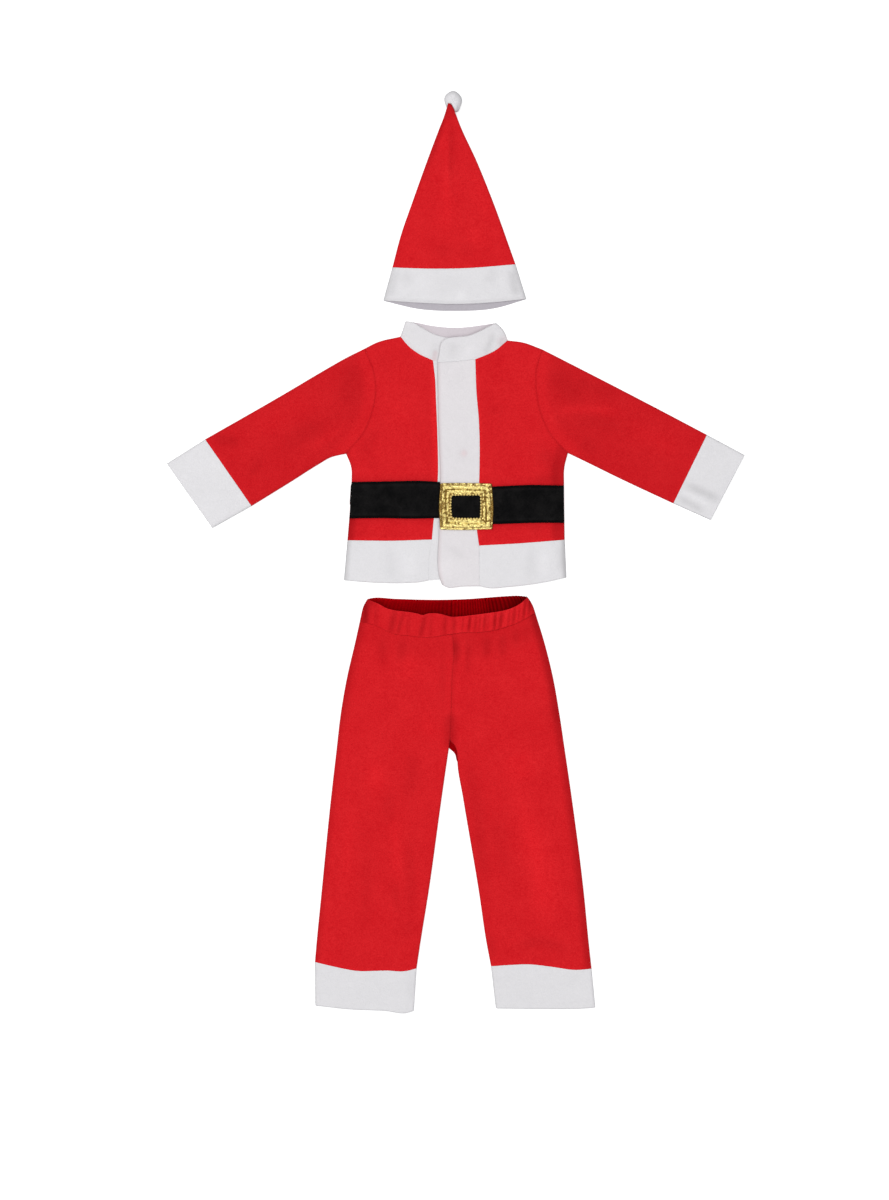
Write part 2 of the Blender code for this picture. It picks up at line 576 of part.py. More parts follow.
def make_hat():
    across = divide(6, (True, True))
    sides = (Edge(HAT_LEFT), Edge(HAT_RIGHT))
    crown = patch(Edge(BRIM_SEAM), Edge([HAT_TIP_LEFT, HAT_TIP_RIGHT]), *sides, across, divide(10))
    lift = TIP_RISE * ease(crown[..., 1], TIP_BEND, HAT_TIP_LEFT.y)
    points = wrapped(crown, crown, upper_height(crown), (HAT_LEFT, HAT_RIGHT), lift)
    sheet("hat_crown", points, FLEECE, RED, ["bottom"])

    lines = ([BRIM_LOW_LEFT, BRIM_SEAM_LEFT], [BRIM_LOW_RIGHT, BRIM_SEAM_RIGHT])
    sides = [Edge(points) for points in lines]
    front = patch(Edge(BRIM_LOW_FRONT), Edge(BRIM_SEAM), *sides, across, divide(3))
    back = patch(Edge(BRIM_LOW_BACK), Edge(BRIM_SEAM), *sides, across, divide(3))
    mouth = 1 - ease(front[..., 1], BRIM_LOW_FRONT[2].y, BRIM_SEAM[1].y)
    points = wrapped(front, back, upper_height(front) + BRIM_OPEN * mouth, lines)
    sheet("hat_brim", points, BAND, WHITE, ["top"], gap=CORNER_GAP)
    make_pompom()


def make_pompom():
    """A small stuffed fleece ball, flat where it rests and hollowed where the hat's tip lies on it."""
    mesh_data = bmesh.new()
    bmesh.ops.create_uvsphere(mesh_data, u_segments=18, v_segments=12, radius=0.5)
    floor = POMPOM_REST - 0.5
    for vert in mesh_data.verts:
        unit = vert.co.copy()
        narrow = 1 - POMPOM_TAPER * (0.5 - unit.y)
        x = POMPOM_MIDDLE.x + unit.x * POMPOM_WIDTH * narrow + POMPOM_LEAN * (0.5 - unit.y)
        y = POMPOM_MIDDLE.y + unit.y * POMPOM_LENGTH
        z = (max(unit.z, floor) - floor) * POMPOM_HEIGHT / (0.5 - floor)
        room = TIP_RISE * ease(y, TIP_BEND, HAT_TIP_LEFT.y) - SEAM_GAP
        tip = HAT_TIP_LEFT.x + TIP_SLOPE * (HAT_TIP_LEFT.y - y)
        aside = ease(abs(x - tip), TIP_HALF, TIP_HALF + POMPOM_HOLLOW)
        above = ease(y, HAT_TIP_LEFT.y + 1, HAT_TIP_LEFT.y + 1 + POMPOM_HOLLOW)
        allowed = max(room, 0.0) + POMPOM_HEIGHT * max(aside, above)
        vert.co = (x * MM, y * MM, min(z, allowed) * MM)
    add_object("hat_pompom", mesh_data, WHITE)


# ---------------------------------------------------------------- the jacket


def body_rows(armhole):
    """Rows of a body panel: even up the side, then as the sleeve's columns run round the armhole."""
    chord = between(armhole[0], armhole[-1])
    return joined((UNDERARM_SHARE,), shares(chord, 5), shares(chord, 4, (True, True)))


def make_back():
    side_left = Edge(SIDE_LEFT, ARMHOLE_LEFT, corners=(UNDERARM_SHARE,))
    side_right = Edge(SIDE_RIGHT, ARMHOLE_RIGHT, corners=(UNDERARM_SHARE,))
    top = Edge(SHOULDER_LEFT, NECK_BACK, SHOULDER_RIGHT, corners=NECK_SHARES)
    across = joined(
        NECK_SHARES,
        shares(between(ARM_TOP_LEFT, NECK_LEFT), 2, (True, False)),
        shares(between(NECK_LEFT, NECK_RIGHT), 6, (True, True)),
        shares(between(ARM_TOP_RIGHT, NECK_RIGHT), 2, (False, True)),
    )
    grid = patch(Edge(HEM_SEAM_BACK), top, side_left, side_right, across, body_rows(ARMHOLE_LEFT))
    seams = (SIDE_LEFT, SIDE_RIGHT, SHOULDER_LEFT, SHOULDER_RIGHT)
    sheet("jacket_back", lower_layer(grid, *seams), FLEECE, RED, ALL_SIDES, -1)


def make_fronts():
    left = patch(
        Edge(HEM_SEAM_FRONT_LEFT),
        Edge(SHOULDER_LEFT, NECK_FRONT_LEFT, corners=(SHOULDER_SHARE,)),
        Edge(SIDE_LEFT, ARMHOLE_LEFT, corners=(UNDERARM_SHARE,)),
        Edge(LEFT_EDGE),
        joined(
            (SHOULDER_SHARE,),
            shares(between(ARM_TOP_LEFT, NECK_LEFT), 2, (True, False)),
            shares(between(NECK_LEFT, LEFT_EDGE_TOP), 4, (True, False)),
        ),
        body_rows(ARMHOLE_LEFT),
    )
    points = upper_layer(left, under_height(left), SIDE_LEFT, SHOULDER_LEFT)
    sheet("jacket_front_left", points, FLEECE, RED, ALL_SIDES)
    right = patch(
        Edge(HEM_SEAM_FRONT_RIGHT),
        Edge(NECK_FRONT_RIGHT, SHOULDER_RIGHT, corners=(1 - SHOULDER_SHARE,)),
        Edge(PLACKET_SEAM),
        Edge(SIDE_RIGHT, ARMHOLE_RIGHT, corners=(UNDERARM_SHARE,)),
        joined(
            (1 - SHOULDER_SHARE,),
            shares(between(PLACKET_TOP_RIGHT, NECK_RIGHT), 4, (False, True)),
            shares(between(ARM_TOP_RIGHT, NECK_RIGHT), 2, (False, True)),
        ),
        body_rows(ARMHOLE_RIGHT),
    )
    points = upper_layer(right, over_height(right), SIDE_RIGHT, SHOULDER_RIGHT)
    sheet("jacket_front_right", points, FLEECE, RED, ALL_SIDES)


def make_sleeve(side, armhole, cuff_seam, cuff_end, low, top):
    """A sleeve and its cuff, each folded over the top of the arm and seamed below it."""
    across = divide(4, (True, True))
    arm = patch(Edge(armhole), Edge(cuff_seam), Edge(low), Edge(top), across, divide(8))
    points = wrapped(arm, arm, upper_height(arm), (low, top))
    sheet("sleeve_" + side, points, FLEECE, RED, ["bottom", "top"], gap=CORNER_GAP)
    lines = ([cuff_seam[0], cuff_end[0]], [cuff_seam[-1], cuff_end[-1]])
    sides = [Edge(points) for points in lines]
    cuff = patch(Edge(cuff_seam), Edge(cuff_end), *sides, across, divide(3))
    sheet("sleeve_cuff_" + side, wrapped(cuff, cuff, upper_height(cuff), lines), BAND, WHITE, ["bottom"])


def make_hem_bands():
    down = divide(HEM_ROWS)
    left = patch(
        Edge(HEM_LOW_LEFT), Edge(HEM_SEAM_FRONT_LEFT), Edge(HEM_SIDE_LEFT), Edge(HEM_SPLIT_LINE_LEFT),
        divide(5, (True, False)), down,
    )
    points = upper_layer(left, under_height(left), HEM_SIDE_LEFT)
    sheet("hem_band_left", points, FLEECE, WHITE, ["right", "top"])
    right = patch(
        Edge(HEM_LOW_RIGHT), Edge(HEM_SEAM_FRONT_RIGHT), Edge(PLACKET_SEAM_LOW), Edge(HEM_SIDE_RIGHT),
        divide(6, (False, True)), down,
    )
    points = upper_layer(right, over_height(right), HEM_SIDE_RIGHT)
    sheet("hem_band_right", points, FLEECE, WHITE, ["left", "top"])
    back = patch(
        Edge(HEM_LOW_BACK), Edge(HEM_SEAM_BACK), Edge(HEM_SIDE_LEFT), Edge(HEM_SIDE_RIGHT),
        divide(8, (True, True)), down,
    )
    points = lower_layer(back, HEM_SIDE_LEFT, HEM_SIDE_RIGHT)
    sheet("hem_band_back", points, FLEECE, WHITE, ["top"], -1)


def closure_rows(armhole):
    """Rows of the bands at the front edge, as in the hem band and the front beside them."""
    return joined((HEM_SHARE,), shares(1.0, HEM_ROWS), body_rows(armhole)(1.0))


def make_closure():
    """The underlap on the left front, the placket on the right front, and their fasteners."""
    rows = closure_rows(ARMHOLE_LEFT)
    seam = Edge(HEM_SPLIT_LINE_LEFT, LEFT_EDGE, corners=(HEM_SHARE,))
    lap = patch(Edge(UNDERLAP_LOW), Edge(UNDERLAP_TOP), seam, Edge(UNDERLAP_EDGE), divide(4), rows)
    sheet("underlap", with_height(lap, under_height(lap)), FLEECE, WHITE, ["left", "top"])

    rows = closure_rows(ARMHOLE_RIGHT)
    seam = Edge(PLACKET_SEAM_LOW, PLACKET_SEAM, corners=(HEM_SHARE,))
    sides = (Edge(PLACKET_FOLD), seam)
    band = patch(Edge(PLACKET_HEM), Edge(PLACKET_TOP), *sides, divide(3, (True, False)), rows)
    height = over_height(band) - PLACKET_FOLD_DROP * (1 - rounding(band, PLACKET_FOLD))
    sheet("placket", with_height(band, height), BAND, WHITE, ["right", "top"])

    for dot in FASTENERS:
        mesh_data = bmesh.new()
        bmesh.ops.create_cone(
            mesh_data, cap_ends=True, segments=24, radius1=dot.radius * MM,
            radius2=dot.radius * MM, depth=FASTENER_THICK * MM,
        )
        height = UNDERLAP_HEIGHT + FASTENER_ROOM + FASTENER_THICK / 2
        middle = (dot.x * MM, dot.y * MM, height * MM)
        bmesh.ops.translate(mesh_data, verts=mesh_data.verts, vec=middle)
        add_object(dot.name, mesh_data, WHITE)


def make_collar():
    """One strip: its left end under the tab, round the left, behind the neck, round the right."""
    up = divide(3)
    left = patch(
        Edge(UNDERLAP_TOP[::-1], NECK_FRONT_LEFT[::-1], corners=(COLLAR_LEFT_SHARE,)),
        Edge(COLLAR_LEFT_RIM),
        Edge(COLLAR_LEFT_END),
        Edge(COLLAR_LEFT_FOLD),
        joined(
            (COLLAR_LEFT_SHARE,), shares(1.0, 4), shares(between(NECK_LEFT, LEFT_EDGE_TOP), 4, (False, True))
        ),
        up,
    )
    sides = (Edge(COLLAR_LEFT_FOLD), Edge(COLLAR_RIGHT_FOLD))
    back = patch(Edge(NECK_BACK), Edge(COLLAR_BACK_RIM), *sides, divide(6, (True, True)), up)
    right = patch(
        Edge(NECK_FRONT_RIGHT[::-1], PLACKET_TOP[::-1], corners=(COLLAR_RIGHT_SHARE,)),
        Edge(COLLAR_RIGHT_RIM),
        Edge(COLLAR_RIGHT_FOLD),
        Edge(TAB_END),
        joined(
            (COLLAR_RIGHT_SHARE,),
            shares(between(PLACKET_TOP_RIGHT, NECK_RIGHT), 4, (True, False)),
            shares(between(PLACKET_TOP_LEFT, PLACKET_TOP_RIGHT), 3, (False, True)),
        ),
        up,
    )
    under = under_height(left) - SEAM_HEIGHT
    over = over_height(right) - SEAM_HEIGHT
    pieces = (
        with_height(left, SEAM_HEIGHT + under * rounding(left, COLLAR_LEFT_FOLD)),
        with_height(back, SEAM_HEIGHT * (1 - rounding(back, COLLAR_LEFT_FOLD, COLLAR_RIGHT_FOLD)))[1:],
        with_height(right, SEAM_HEIGHT + over * rounding(right, COLLAR_RIGHT_FOLD))[1:],
    )
    sheet("collar", np.concatenate(pieces), FLEECE, WHITE, ["bottom"], gap=CORNER_GAP)


def make_belt():
    def left_surface(grid):
        return upper_layer(grid, under_height(grid), SIDE_LEFT)[..., 2]

    def right_surface(grid):
        return upper_layer(grid, over_height(grid), SIDE_RIGHT)[..., 2]

    bend = shares(1.0, 1)
    lift = BELT_GAP + FELT
    ends = (Edge([BELT_LEFT_LOW[0], BELT_LEFT_TOP[0]]), Edge([BELT_LEFT_LOW[-1], BELT_LEFT_TOP[-1]]))
    across = joined((BELT_BEND,), bend, shares(1.0, 7))
    left = patch(Edge(BELT_LEFT_LOW), Edge(BELT_LEFT_TOP), *ends, across, divide(3))
    sheet("belt_left", laid_on(left, left_surface, lift), FELT, BLACK)
    ends = (Edge([BELT_RIGHT_LOW[0], BELT_RIGHT_TOP[0]]), Edge([BELT_RIGHT_LOW[-1], BELT_RIGHT_TOP[-1]]))
    across = joined((1 - BELT_BEND,), shares(1.0, 9), bend)
    right = patch(Edge(BELT_RIGHT_LOW), Edge(BELT_RIGHT_TOP), *ends, across, divide(3))
    sheet("belt_right", laid_on(right, right_surface, lift), FELT, BLACK)

    frame = buckle_grid()
    middle = (len(BUCKLE_BORDER) - 1) / 2
    drop = BUCKLE_EDGE_DROP * (np.abs(np.arange(len(BUCKLE_BORDER)) - middle) / middle) ** 2
    points = laid_on(frame, over_height, lift + SEAM_GAP + LAME)
    points[..., 2] -= drop
    sheet("buckle", points, LAME - BUCKLE_EDGE_DROP, GOLD, closed=True)


def rounded_rectangle(size, squareness, steps):
    """Points round a superellipse: straight sides and soft corners."""
    points = []
    for turn in np.arange(steps) / steps * 2 * math.pi:
        power = 2 / squareness
        x = math.copysign(abs(math.cos(turn)) ** power, math.cos(turn)) * size.x / 2
        y = math.copysign(abs(math.sin(turn)) ** power, math.sin(turn)) * size.y / 2
        points.append((BUCKLE_MIDDLE.x + x, BUCKLE_MIDDLE.y + y))
    return np.array(points)


def buckle_grid():
    """A frame in a closed ring of squares, from its outer edge to its opening."""
    outer = rounded_rectangle(BUCKLE_SIZE, BUCKLE_SQUARENESS, BUCKLE_STEPS)
    inner = rounded_rectangle(BUCKLE_OPENING, BUCKLE_SQUARENESS, BUCKLE_STEPS)
    rings = [outer + (inner - outer) * share for share in BUCKLE_BORDER]
    grid = np.stack(rings, axis=1)
    return np.concatenate([grid, grid[:1]])


# ---------------------------------------------------------------- the trousers


def make_leg(side, layer, cuff_seam, waist_seam, inseam, centre, outer):
    """One panel of a leg. The crotch is a corner between the inseam and the centre seam."""
    inner = Edge(inseam, centre, corners=(CROTCH_SHARE,))
    along = joined((CROTCH_SHARE,), shares(1.0, 7), shares(1.0, 4))
    if side == "left":
        sides = (Edge(outer), inner)
        cuff_seam = cuff_seam[::-1]
        centre_side = "right"
    else:
        sides = (inner, Edge(outer))
        centre_side = "left"
    across = divide(LEG_COLUMNS, (True, True))
    grid = patch(Edge(cuff_seam), Edge(waist_seam), *sides, across, along)
    parted = ["bottom", "top", centre_side]
    name = "trouser_" + layer + "_" + side
    if layer == "front":
        sheet(name, upper_layer(grid, upper_height(grid), outer, inseam), FLEECE, RED, parted)
    else:
        sheet(name, lower_layer(grid, outer, inseam), FLEECE, RED, parted, -1)


def make_leg_cuff(side, seam, low):
    lines = ([seam[0], low[0]], [seam[-1], low[-1]])
    sides = [Edge(points) for points in lines]
    grid = patch(Edge(seam), Edge(low), *sides, divide(LEG_COLUMNS, (True, True)), divide(3))
    sheet("leg_cuff_" + side, wrapped(grid, grid, upper_height(grid), lines), BAND, WHITE, ["bottom"])


def gather_columns(length):
    """Grid lines on each gather and half way to the next, with shoulders where they are far apart."""
    seams = [shares(length, 1, (True, True))]
    span = WAIST_SEAM_RIGHT.x - WAIST_SEAM_LEFT.x
    for gather, after in zip(FRONT_GATHERS, FRONT_GATHERS[1:]):
        places = [gather.x, (gather.x + after.x) / 2]
        if after.x - gather.x > WIDE_GATHER:
            places += [gather.x + 1.6 * gather.width, after.x - 1.6 * after.width]
        seams.append((np.array(places) - WAIST_SEAM_LEFT.x) / span)
    seams.append([(FRONT_GATHERS[-1].x - WAIST_SEAM_LEFT.x) / span])
    return np.sort(np.concatenate(seams))


def leg_steps(left, right):
    """The waist seam as the legs' grids step along it, for the finer grid of the waistband."""
    steps = [
        [Edge(seam).at(share) for share in shares(between(seam[0], seam[-1]), LEG_COLUMNS, (True, True))]
        for seam in (left, right)
    ]
    return Edge(steps[0] + steps[1][1:], smooth=False)


def make_waistband():
    """An elastic casing in two halves, gathered front and back."""
    sides = (Edge(WAIST_SIDE_LEFT), Edge(WAIST_SIDE_RIGHT))
    seam = leg_steps(WAIST_SEAM_FRONT_LEFT, WAIST_SEAM_FRONT_RIGHT)
    front = patch(seam, Edge(WAIST_TOP_FRONT), *sides, gather_columns, divide(4))
    place = WAIST_SEAM_LEFT.x + (WAIST_SEAM_RIGHT.x - WAIST_SEAM_LEFT.x) * gather_columns(280.0)
    drawn = np.zeros_like(place)
    for gather in FRONT_GATHERS:
        drawn += gather.depth * np.exp(-(((place - gather.x) / gather.width) ** 2))
    swell = np.sin(math.pi * np.linspace(*WAISTBAND_SWELL, front.shape[1]))
    height = CROWN + (WAISTBAND_HEIGHT - CROWN) * swell - drawn[:, None]
    points = upper_layer(front, height, WAIST_SIDE_LEFT, WAIST_SIDE_RIGHT)
    sheet("waistband_front", points, WAISTBAND_WALL, RED, ["bottom"])

    seam = leg_steps(WAIST_SEAM_BACK_LEFT, WAIST_SEAM_BACK_RIGHT)
    back = patch(seam, Edge(WAIST_TOP_BACK), *sides, divide(2 * BACK_GATHERS, (True, True)), divide(2))
    points = lower_layer(back, WAIST_SIDE_LEFT, WAIST_SIDE_RIGHT)
    first = len(ROLL_WIDTHS)
    points[first:-first:2, :, 2] += BACK_GATHER_DEPTH
    sheet("waistband_back", points, WAISTBAND_WALL, RED, ["bottom"], -1)


def make_trousers():
    left = (LEG_CUFF_SEAM_LEFT, WAIST_SEAM_FRONT_LEFT, FRONT_INSEAM_LEFT, CENTRE_FRONT, OUTER_LEFT)
    right = (LEG_CUFF_SEAM_RIGHT, WAIST_SEAM_FRONT_RIGHT, FRONT_INSEAM_RIGHT, CENTRE_FRONT, OUTER_RIGHT)
    make_leg("left", "front", *left)
    make_leg("right", "front", *right)
    left = (LEG_CUFF_SEAM_LEFT, WAIST_SEAM_BACK_LEFT, BACK_INSEAM_LEFT, CENTRE_BACK, OUTER_LEFT)
    right = (LEG_CUFF_SEAM_RIGHT, WAIST_SEAM_BACK_RIGHT, BACK_INSEAM_RIGHT, CENTRE_BACK, OUTER_RIGHT)
    make_leg("left", "back", *left)
    make_leg("right", "back", *right)
    make_waistband()
    make_leg_cuff("left", LEG_CUFF_SEAM_LEFT, LEG_CUFF_LOW_LEFT)
    make_leg_cuff("right", LEG_CUFF_SEAM_RIGHT, LEG_CUFF_LOW_RIGHT)


clear_scene()
SUIT = bpy.data.collections.new("santa_suit")
bpy.context.scene.collection.children.link(SUIT)
RED = make_material("red_fleece", (0.62, 0.012, 0.018), 0.95)
WHITE = make_material("white_fleece", (0.78, 0.78, 0.79), 0.95)
BLACK = make_material("black_felt", (0.012, 0.012, 0.012), 0.9)
GOLD = make_material("gold_lame", (0.80, 0.60, 0.20), 0.35, 0.9)

make_hat()
make_back()
make_fronts()
make_sleeve("left", ARMHOLE_LEFT, CUFF_SEAM_LEFT, CUFF_END_LEFT, SLEEVE_LOW_LEFT, SLEEVE_TOP_LEFT)
make_sleeve("right", ARMHOLE_RIGHT, CUFF_SEAM_RIGHT, CUFF_END_RIGHT, SLEEVE_LOW_RIGHT, SLEEVE_TOP_RIGHT)
make_hem_bands()
make_closure()
make_collar()
make_belt()
make_trousers()
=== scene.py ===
# %% [markdown]
# # A child's santa suit, laid out flat
#
# Three garments of brushed fleece lie on a table: a pointed hat with a small pompom, a jacket
# with white bands, a black belt and a gold buckle, and trousers with a gathered waist.
#
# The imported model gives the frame: one plain solid for each piece of cloth. This lesson dresses
# every solid with a piece that has the same seam lines and a finer surface: soft creases, ditches
# along the seams, gathers, topstitching and a brushed pile.

# %% The frame that everything is fitted to
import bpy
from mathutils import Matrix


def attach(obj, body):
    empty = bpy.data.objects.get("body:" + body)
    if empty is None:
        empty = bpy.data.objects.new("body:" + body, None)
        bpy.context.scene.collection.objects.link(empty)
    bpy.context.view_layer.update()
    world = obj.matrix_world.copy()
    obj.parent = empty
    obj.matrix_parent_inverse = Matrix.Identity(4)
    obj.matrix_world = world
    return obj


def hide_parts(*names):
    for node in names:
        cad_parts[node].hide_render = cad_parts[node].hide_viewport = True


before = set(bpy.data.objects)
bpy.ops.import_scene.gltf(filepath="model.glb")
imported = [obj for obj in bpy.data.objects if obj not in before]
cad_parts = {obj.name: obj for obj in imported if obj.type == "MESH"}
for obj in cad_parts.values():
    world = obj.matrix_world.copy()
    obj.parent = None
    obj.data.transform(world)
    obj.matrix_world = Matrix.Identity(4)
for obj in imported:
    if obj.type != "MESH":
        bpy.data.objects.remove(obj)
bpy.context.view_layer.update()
print("pieces in the frame:", len(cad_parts))

# %% Tools and units
import math
from collections import namedtuple

import bmesh
import bpy
import numpy as np
from mathutils import Matrix

MM = 0.001  # every table below is in millimetres, x to the right, y up to the hat, z up
rng = np.random.default_rng(24)


def shown(name, data):
    """An object with this mesh, lamp or camera, in the scene."""
    thing = bpy.data.objects.new(name, data)
    bpy.context.scene.collection.objects.link(thing)
    return thing


def mesh_of(name, shape):
    """The mesh of a finished bmesh."""
    mesh = bpy.data.meshes.new(name)
    shape.to_mesh(mesh)
    shape.free()
    return mesh


print("one step of the tables, in metres:", MM)

# %% [markdown]
# ## Camera, table and light
#
# The camera looks straight down on the laid-out suit. A long lens far away keeps the seams as
# straight as they are. The table is a wide plain sheet, a little brighter than white fleece. Light
# comes from a pale room and two large soft panels, high on either side of the camera. So every
# edge that turns down darkens a little, on the left as on the right.

# %% The camera
IMAGE_HEIGHT = 1200  # pixels along the long side of the frame
PIXEL = 1.6  # millimetres on the cloth for each pixel
CLOTH_HEIGHT = 6.0  # where a pixel has that size
VIEW_MIDDLE = (-18.4, -77.6)
LENS = 100.0
SENSOR = 36.0
FARTHEST = 50.0  # metres, past the table

camera_data = bpy.data.cameras.new("camera")
camera_data.lens = LENS
camera_data.sensor_width = SENSOR
camera_data.clip_end = FARTHEST
camera = shown("camera", camera_data)
away = IMAGE_HEIGHT * PIXEL * LENS / SENSOR + CLOTH_HEIGHT
camera.location = (VIEW_MIDDLE[0] * MM, VIEW_MIDDLE[1] * MM, away * MM)
bpy.context.scene.camera = camera
print("camera height in metres:", round(away * MM, 3))

# %% The light
ROOM_COLOUR = (0.97, 0.98, 1.0, 1.0)
ROOM_STRENGTH = 0.42

world = bpy.data.worlds.new("pale_room")
world.use_nodes = True
room = world.node_tree.nodes["Background"].inputs
room["Color"].default_value = ROOM_COLOUR
room["Strength"].default_value = ROOM_STRENGTH
bpy.context.scene.world = world
bpy.context.scene.view_settings.view_transform = "Standard"


def light_panel(name, place, size, power):
    """A square lamp at place (metres), turned towards the middle of the suit."""
    data = bpy.data.lights.new(name, "AREA")
    data.size = size
    data.energy = power
    lamp = shown(name, data)
    lamp.location = place
    x, y, height = place
    lamp.rotation_euler = (math.atan2(math.hypot(x, y), height), 0.0, math.atan2(-x, y) + math.pi)


light_panel("key_panel", place=(-1.5, 0.95, 4.3), size=1.8, power=107.5)
light_panel("fill_panel", place=(1.6, -1.45, 4.3), size=3.0, power=59.0)
print("lamps:", [thing.name for thing in bpy.data.objects if thing.type == "LIGHT"])

# %% The table
TABLE_HALF = 4.0  # metres
TABLE_LEVEL = -0.3  # a little below the cloth, so that the two never share a plane
TABLE_GREY = (0.7, 0.7, 0.7, 1.0)
TABLE_GLOW = 0.6  # for the camera alone: it makes the table pale and lights no cloth

table_sheet = bmesh.new()
bmesh.ops.create_grid(table_sheet, x_segments=1, y_segments=1, size=TABLE_HALF)
bmesh.ops.translate(table_sheet, verts=table_sheet.verts, vec=(0, 0, TABLE_LEVEL * MM))
table = shown("table", mesh_of("table", table_sheet))
table_finish = bpy.data.materials.new("table")
table_finish.use_nodes = True
table_shader = table_finish.node_tree.nodes["Principled BSDF"]
table_shader.inputs["Base Color"].default_value = TABLE_GREY
table_shader.inputs["Roughness"].default_value = 0.9
table_shader.inputs["Emission Strength"].default_value = TABLE_GLOW
seen = table_finish.node_tree.nodes.new("ShaderNodeLightPath").outputs["Is Camera Ray"]
table_finish.node_tree.links.new(seen, table_shader.inputs["Emission Color"])
table.data.materials.append(table_finish)
print("table:", 2 * TABLE_HALF, "metres wide")

# %% [markdown]
# ## Writing materials as sums
#
# A finish is a small sum of noises. Writing it with nodes by hand is long, so one small class
# wraps a socket and gives it the usual signs: `a + b` adds a Math node. Everything else comes from
# one method, `node`, that takes the node's type, its settings and its sockets.


# %% A socket that can be added and multiplied
class Wire:
    """A number that flows through a material."""

    def __init__(self, kit, socket):
        self.kit = kit
        self.socket = socket

    def combine(self, operation, first, second):
        return self.kit.node("ShaderNodeMath", {"operation": operation}, {0: first, 1: second})

    def __add__(self, other):
        return self.combine("ADD", self, other)

    def __radd__(self, other):
        return self.combine("ADD", other, self)

    def __sub__(self, other):
        return self.combine("SUBTRACT", self, other)

    def __rsub__(self, other):
        return self.combine("SUBTRACT", other, self)

    def __mul__(self, other):
        return self.combine("MULTIPLY", self, other)

    def __rmul__(self, other):
        return self.combine("MULTIPLY", other, self)


class Finish:
    """A material being written."""

    def __init__(self, name):
        self.material = bpy.data.materials.new(name)
        self.material.use_nodes = True
        self.tree = self.material.node_tree
        self.shader = self.tree.nodes["Principled BSDF"]

    def put(self, socket, value):
        if isinstance(value, Wire):
            self.tree.links.new(value.socket, socket)
        else:
            socket.default_value = value

    def node(self, kind, settings=None, sockets=None, out=0):
        made = self.tree.nodes.new(kind)
        for key, value in (settings or {}).items():
            setattr(made, key, value)
        for key, value in (sockets or {}).items():
            self.put(made.inputs[key], value)
        return Wire(self, made.outputs[out])

    def set(self, **sockets):
        """Fills the shader's sockets, with _ for a space in their names."""
        for key, value in sockets.items():
            self.put(self.shader.inputs[key.replace("_", " ")], value)

    def place(self):
        return self.node("ShaderNodeTexCoord", out="Object")

    def stretched(self, where, scale):
        return self.node("ShaderNodeMapping", {}, {"Vector": where, "Scale": scale})

    def told(self, name):
        """What a piece's own mesh says at each place, such as how much shade is painted there."""
        return self.node("ShaderNodeAttribute", {"attribute_name": name}, out="Fac")

    def noise(self, where, scale, detail=2.0, roughness=0.5):
        values = {"Vector": where, "Scale": scale, "Detail": detail, "Roughness": roughness}
        return self.node("ShaderNodeTexNoise", {}, values)

    def between(self, amount, low, high):
        """A colour from low to high as amount goes from 0 to 1."""
        low, high = [part if isinstance(part, Wire) else (*part, 1.0) for part in (low, high)]
        settings = {"data_type": "RGBA", "clamp_factor": True}
        return self.node("ShaderNodeMix", settings, {0: amount, 6: low, 7: high}, out=2)

    def bump(self, height, strength, distance):
        """Roughness that is finer than the mesh; the distance is in metres."""
        values = {"Height": height, "Strength": strength, "Distance": distance}
        self.set(Normal=self.node("ShaderNodeBump", {}, values))


print("wires can be added, subtracted and multiplied")


# %% [markdown]
# ## Fleece, felt and lame
#
# Brushed fleece has no gloss. Its pile lies in soft patches, a few millimetres and a few
# centimetres wide, which catch the light differently, and it is rough at the scale of a hair. So
# the colour is mixed by slow noises, the bump by fast ones, and a weak sheen stands for the loose
# fibre ends. The nap is noise drawn out along the cloth's own map, as brushing leaves it. Shade is
# painted on top, as much as each piece's mesh says.

# %% Fleece
PATCH = 26.0  # noise scales, in waves a metre
TUFT = 120.0
PILE = 480.0
HAIR = 1900.0
PINK = (0.84, 0.50, 0.53)  # the pink of red cloth showing through white, and of painted red light bounced onto white beside red seams and folds
BRUSHED = (1.0, 0.22, 1.0)  # the nap is drawn out along the cloth
PAINTED_SHADE_SHARE = 0.45  # of the dark colour, where shade is painted at full strength
RED_GRAIN = 1.8  # the pile shows more on red than on white


def fleece(name, light, dark, sheen, grain=0.9):
    """Brushed fleece: light and dark are the ends of its patchy tone, and painted shade darkens it
    further.
    """
    finish = Finish(name)
    place = finish.place()
    patch = finish.noise(place, PATCH, 3.0)
    tuft = finish.noise(place, TUFT, 3.0, 0.65)
    pile = finish.noise(place, PILE, 2.0, 0.6)
    brushed = finish.stretched(finish.node("ShaderNodeUVMap", {"uv_map": "cloth"}), BRUSHED)
    nap_and_painted_shade = finish.noise(brushed, HAIR, 1.0)
    # a noise is 0.5 on average, and what is taken away brings the mean tone to 0.5 too
    tone = patch * 0.6 + tuft * 0.7 + pile * grain + nap_and_painted_shade * 0.4 - 0.5 * grain - 0.35
    # pink: red showing through the white, and painted red light beside red seams and folds
    colour = finish.between(finish.told("show_through_and_painted_red_light"), finish.between(tone, dark, light), PINK)
    # painted shade: the pressed number darkens the colour towards a darker copy of dark
    painted_shade_colour = tuple(PAINTED_SHADE_SHARE * part for part in dark)
    finish.set(Base_Color=finish.between(finish.told("pressed"), colour, painted_shade_colour), Roughness=0.95)
    finish.bump(pile * 0.55 + nap_and_painted_shade * 0.25 + tuft * 0.9, strength=0.55, distance=0.0012)
    finish.set(Sheen_Weight=sheen, Sheen_Roughness=0.45, Specular_IOR_Level=2 * sheen)
    return finish.material


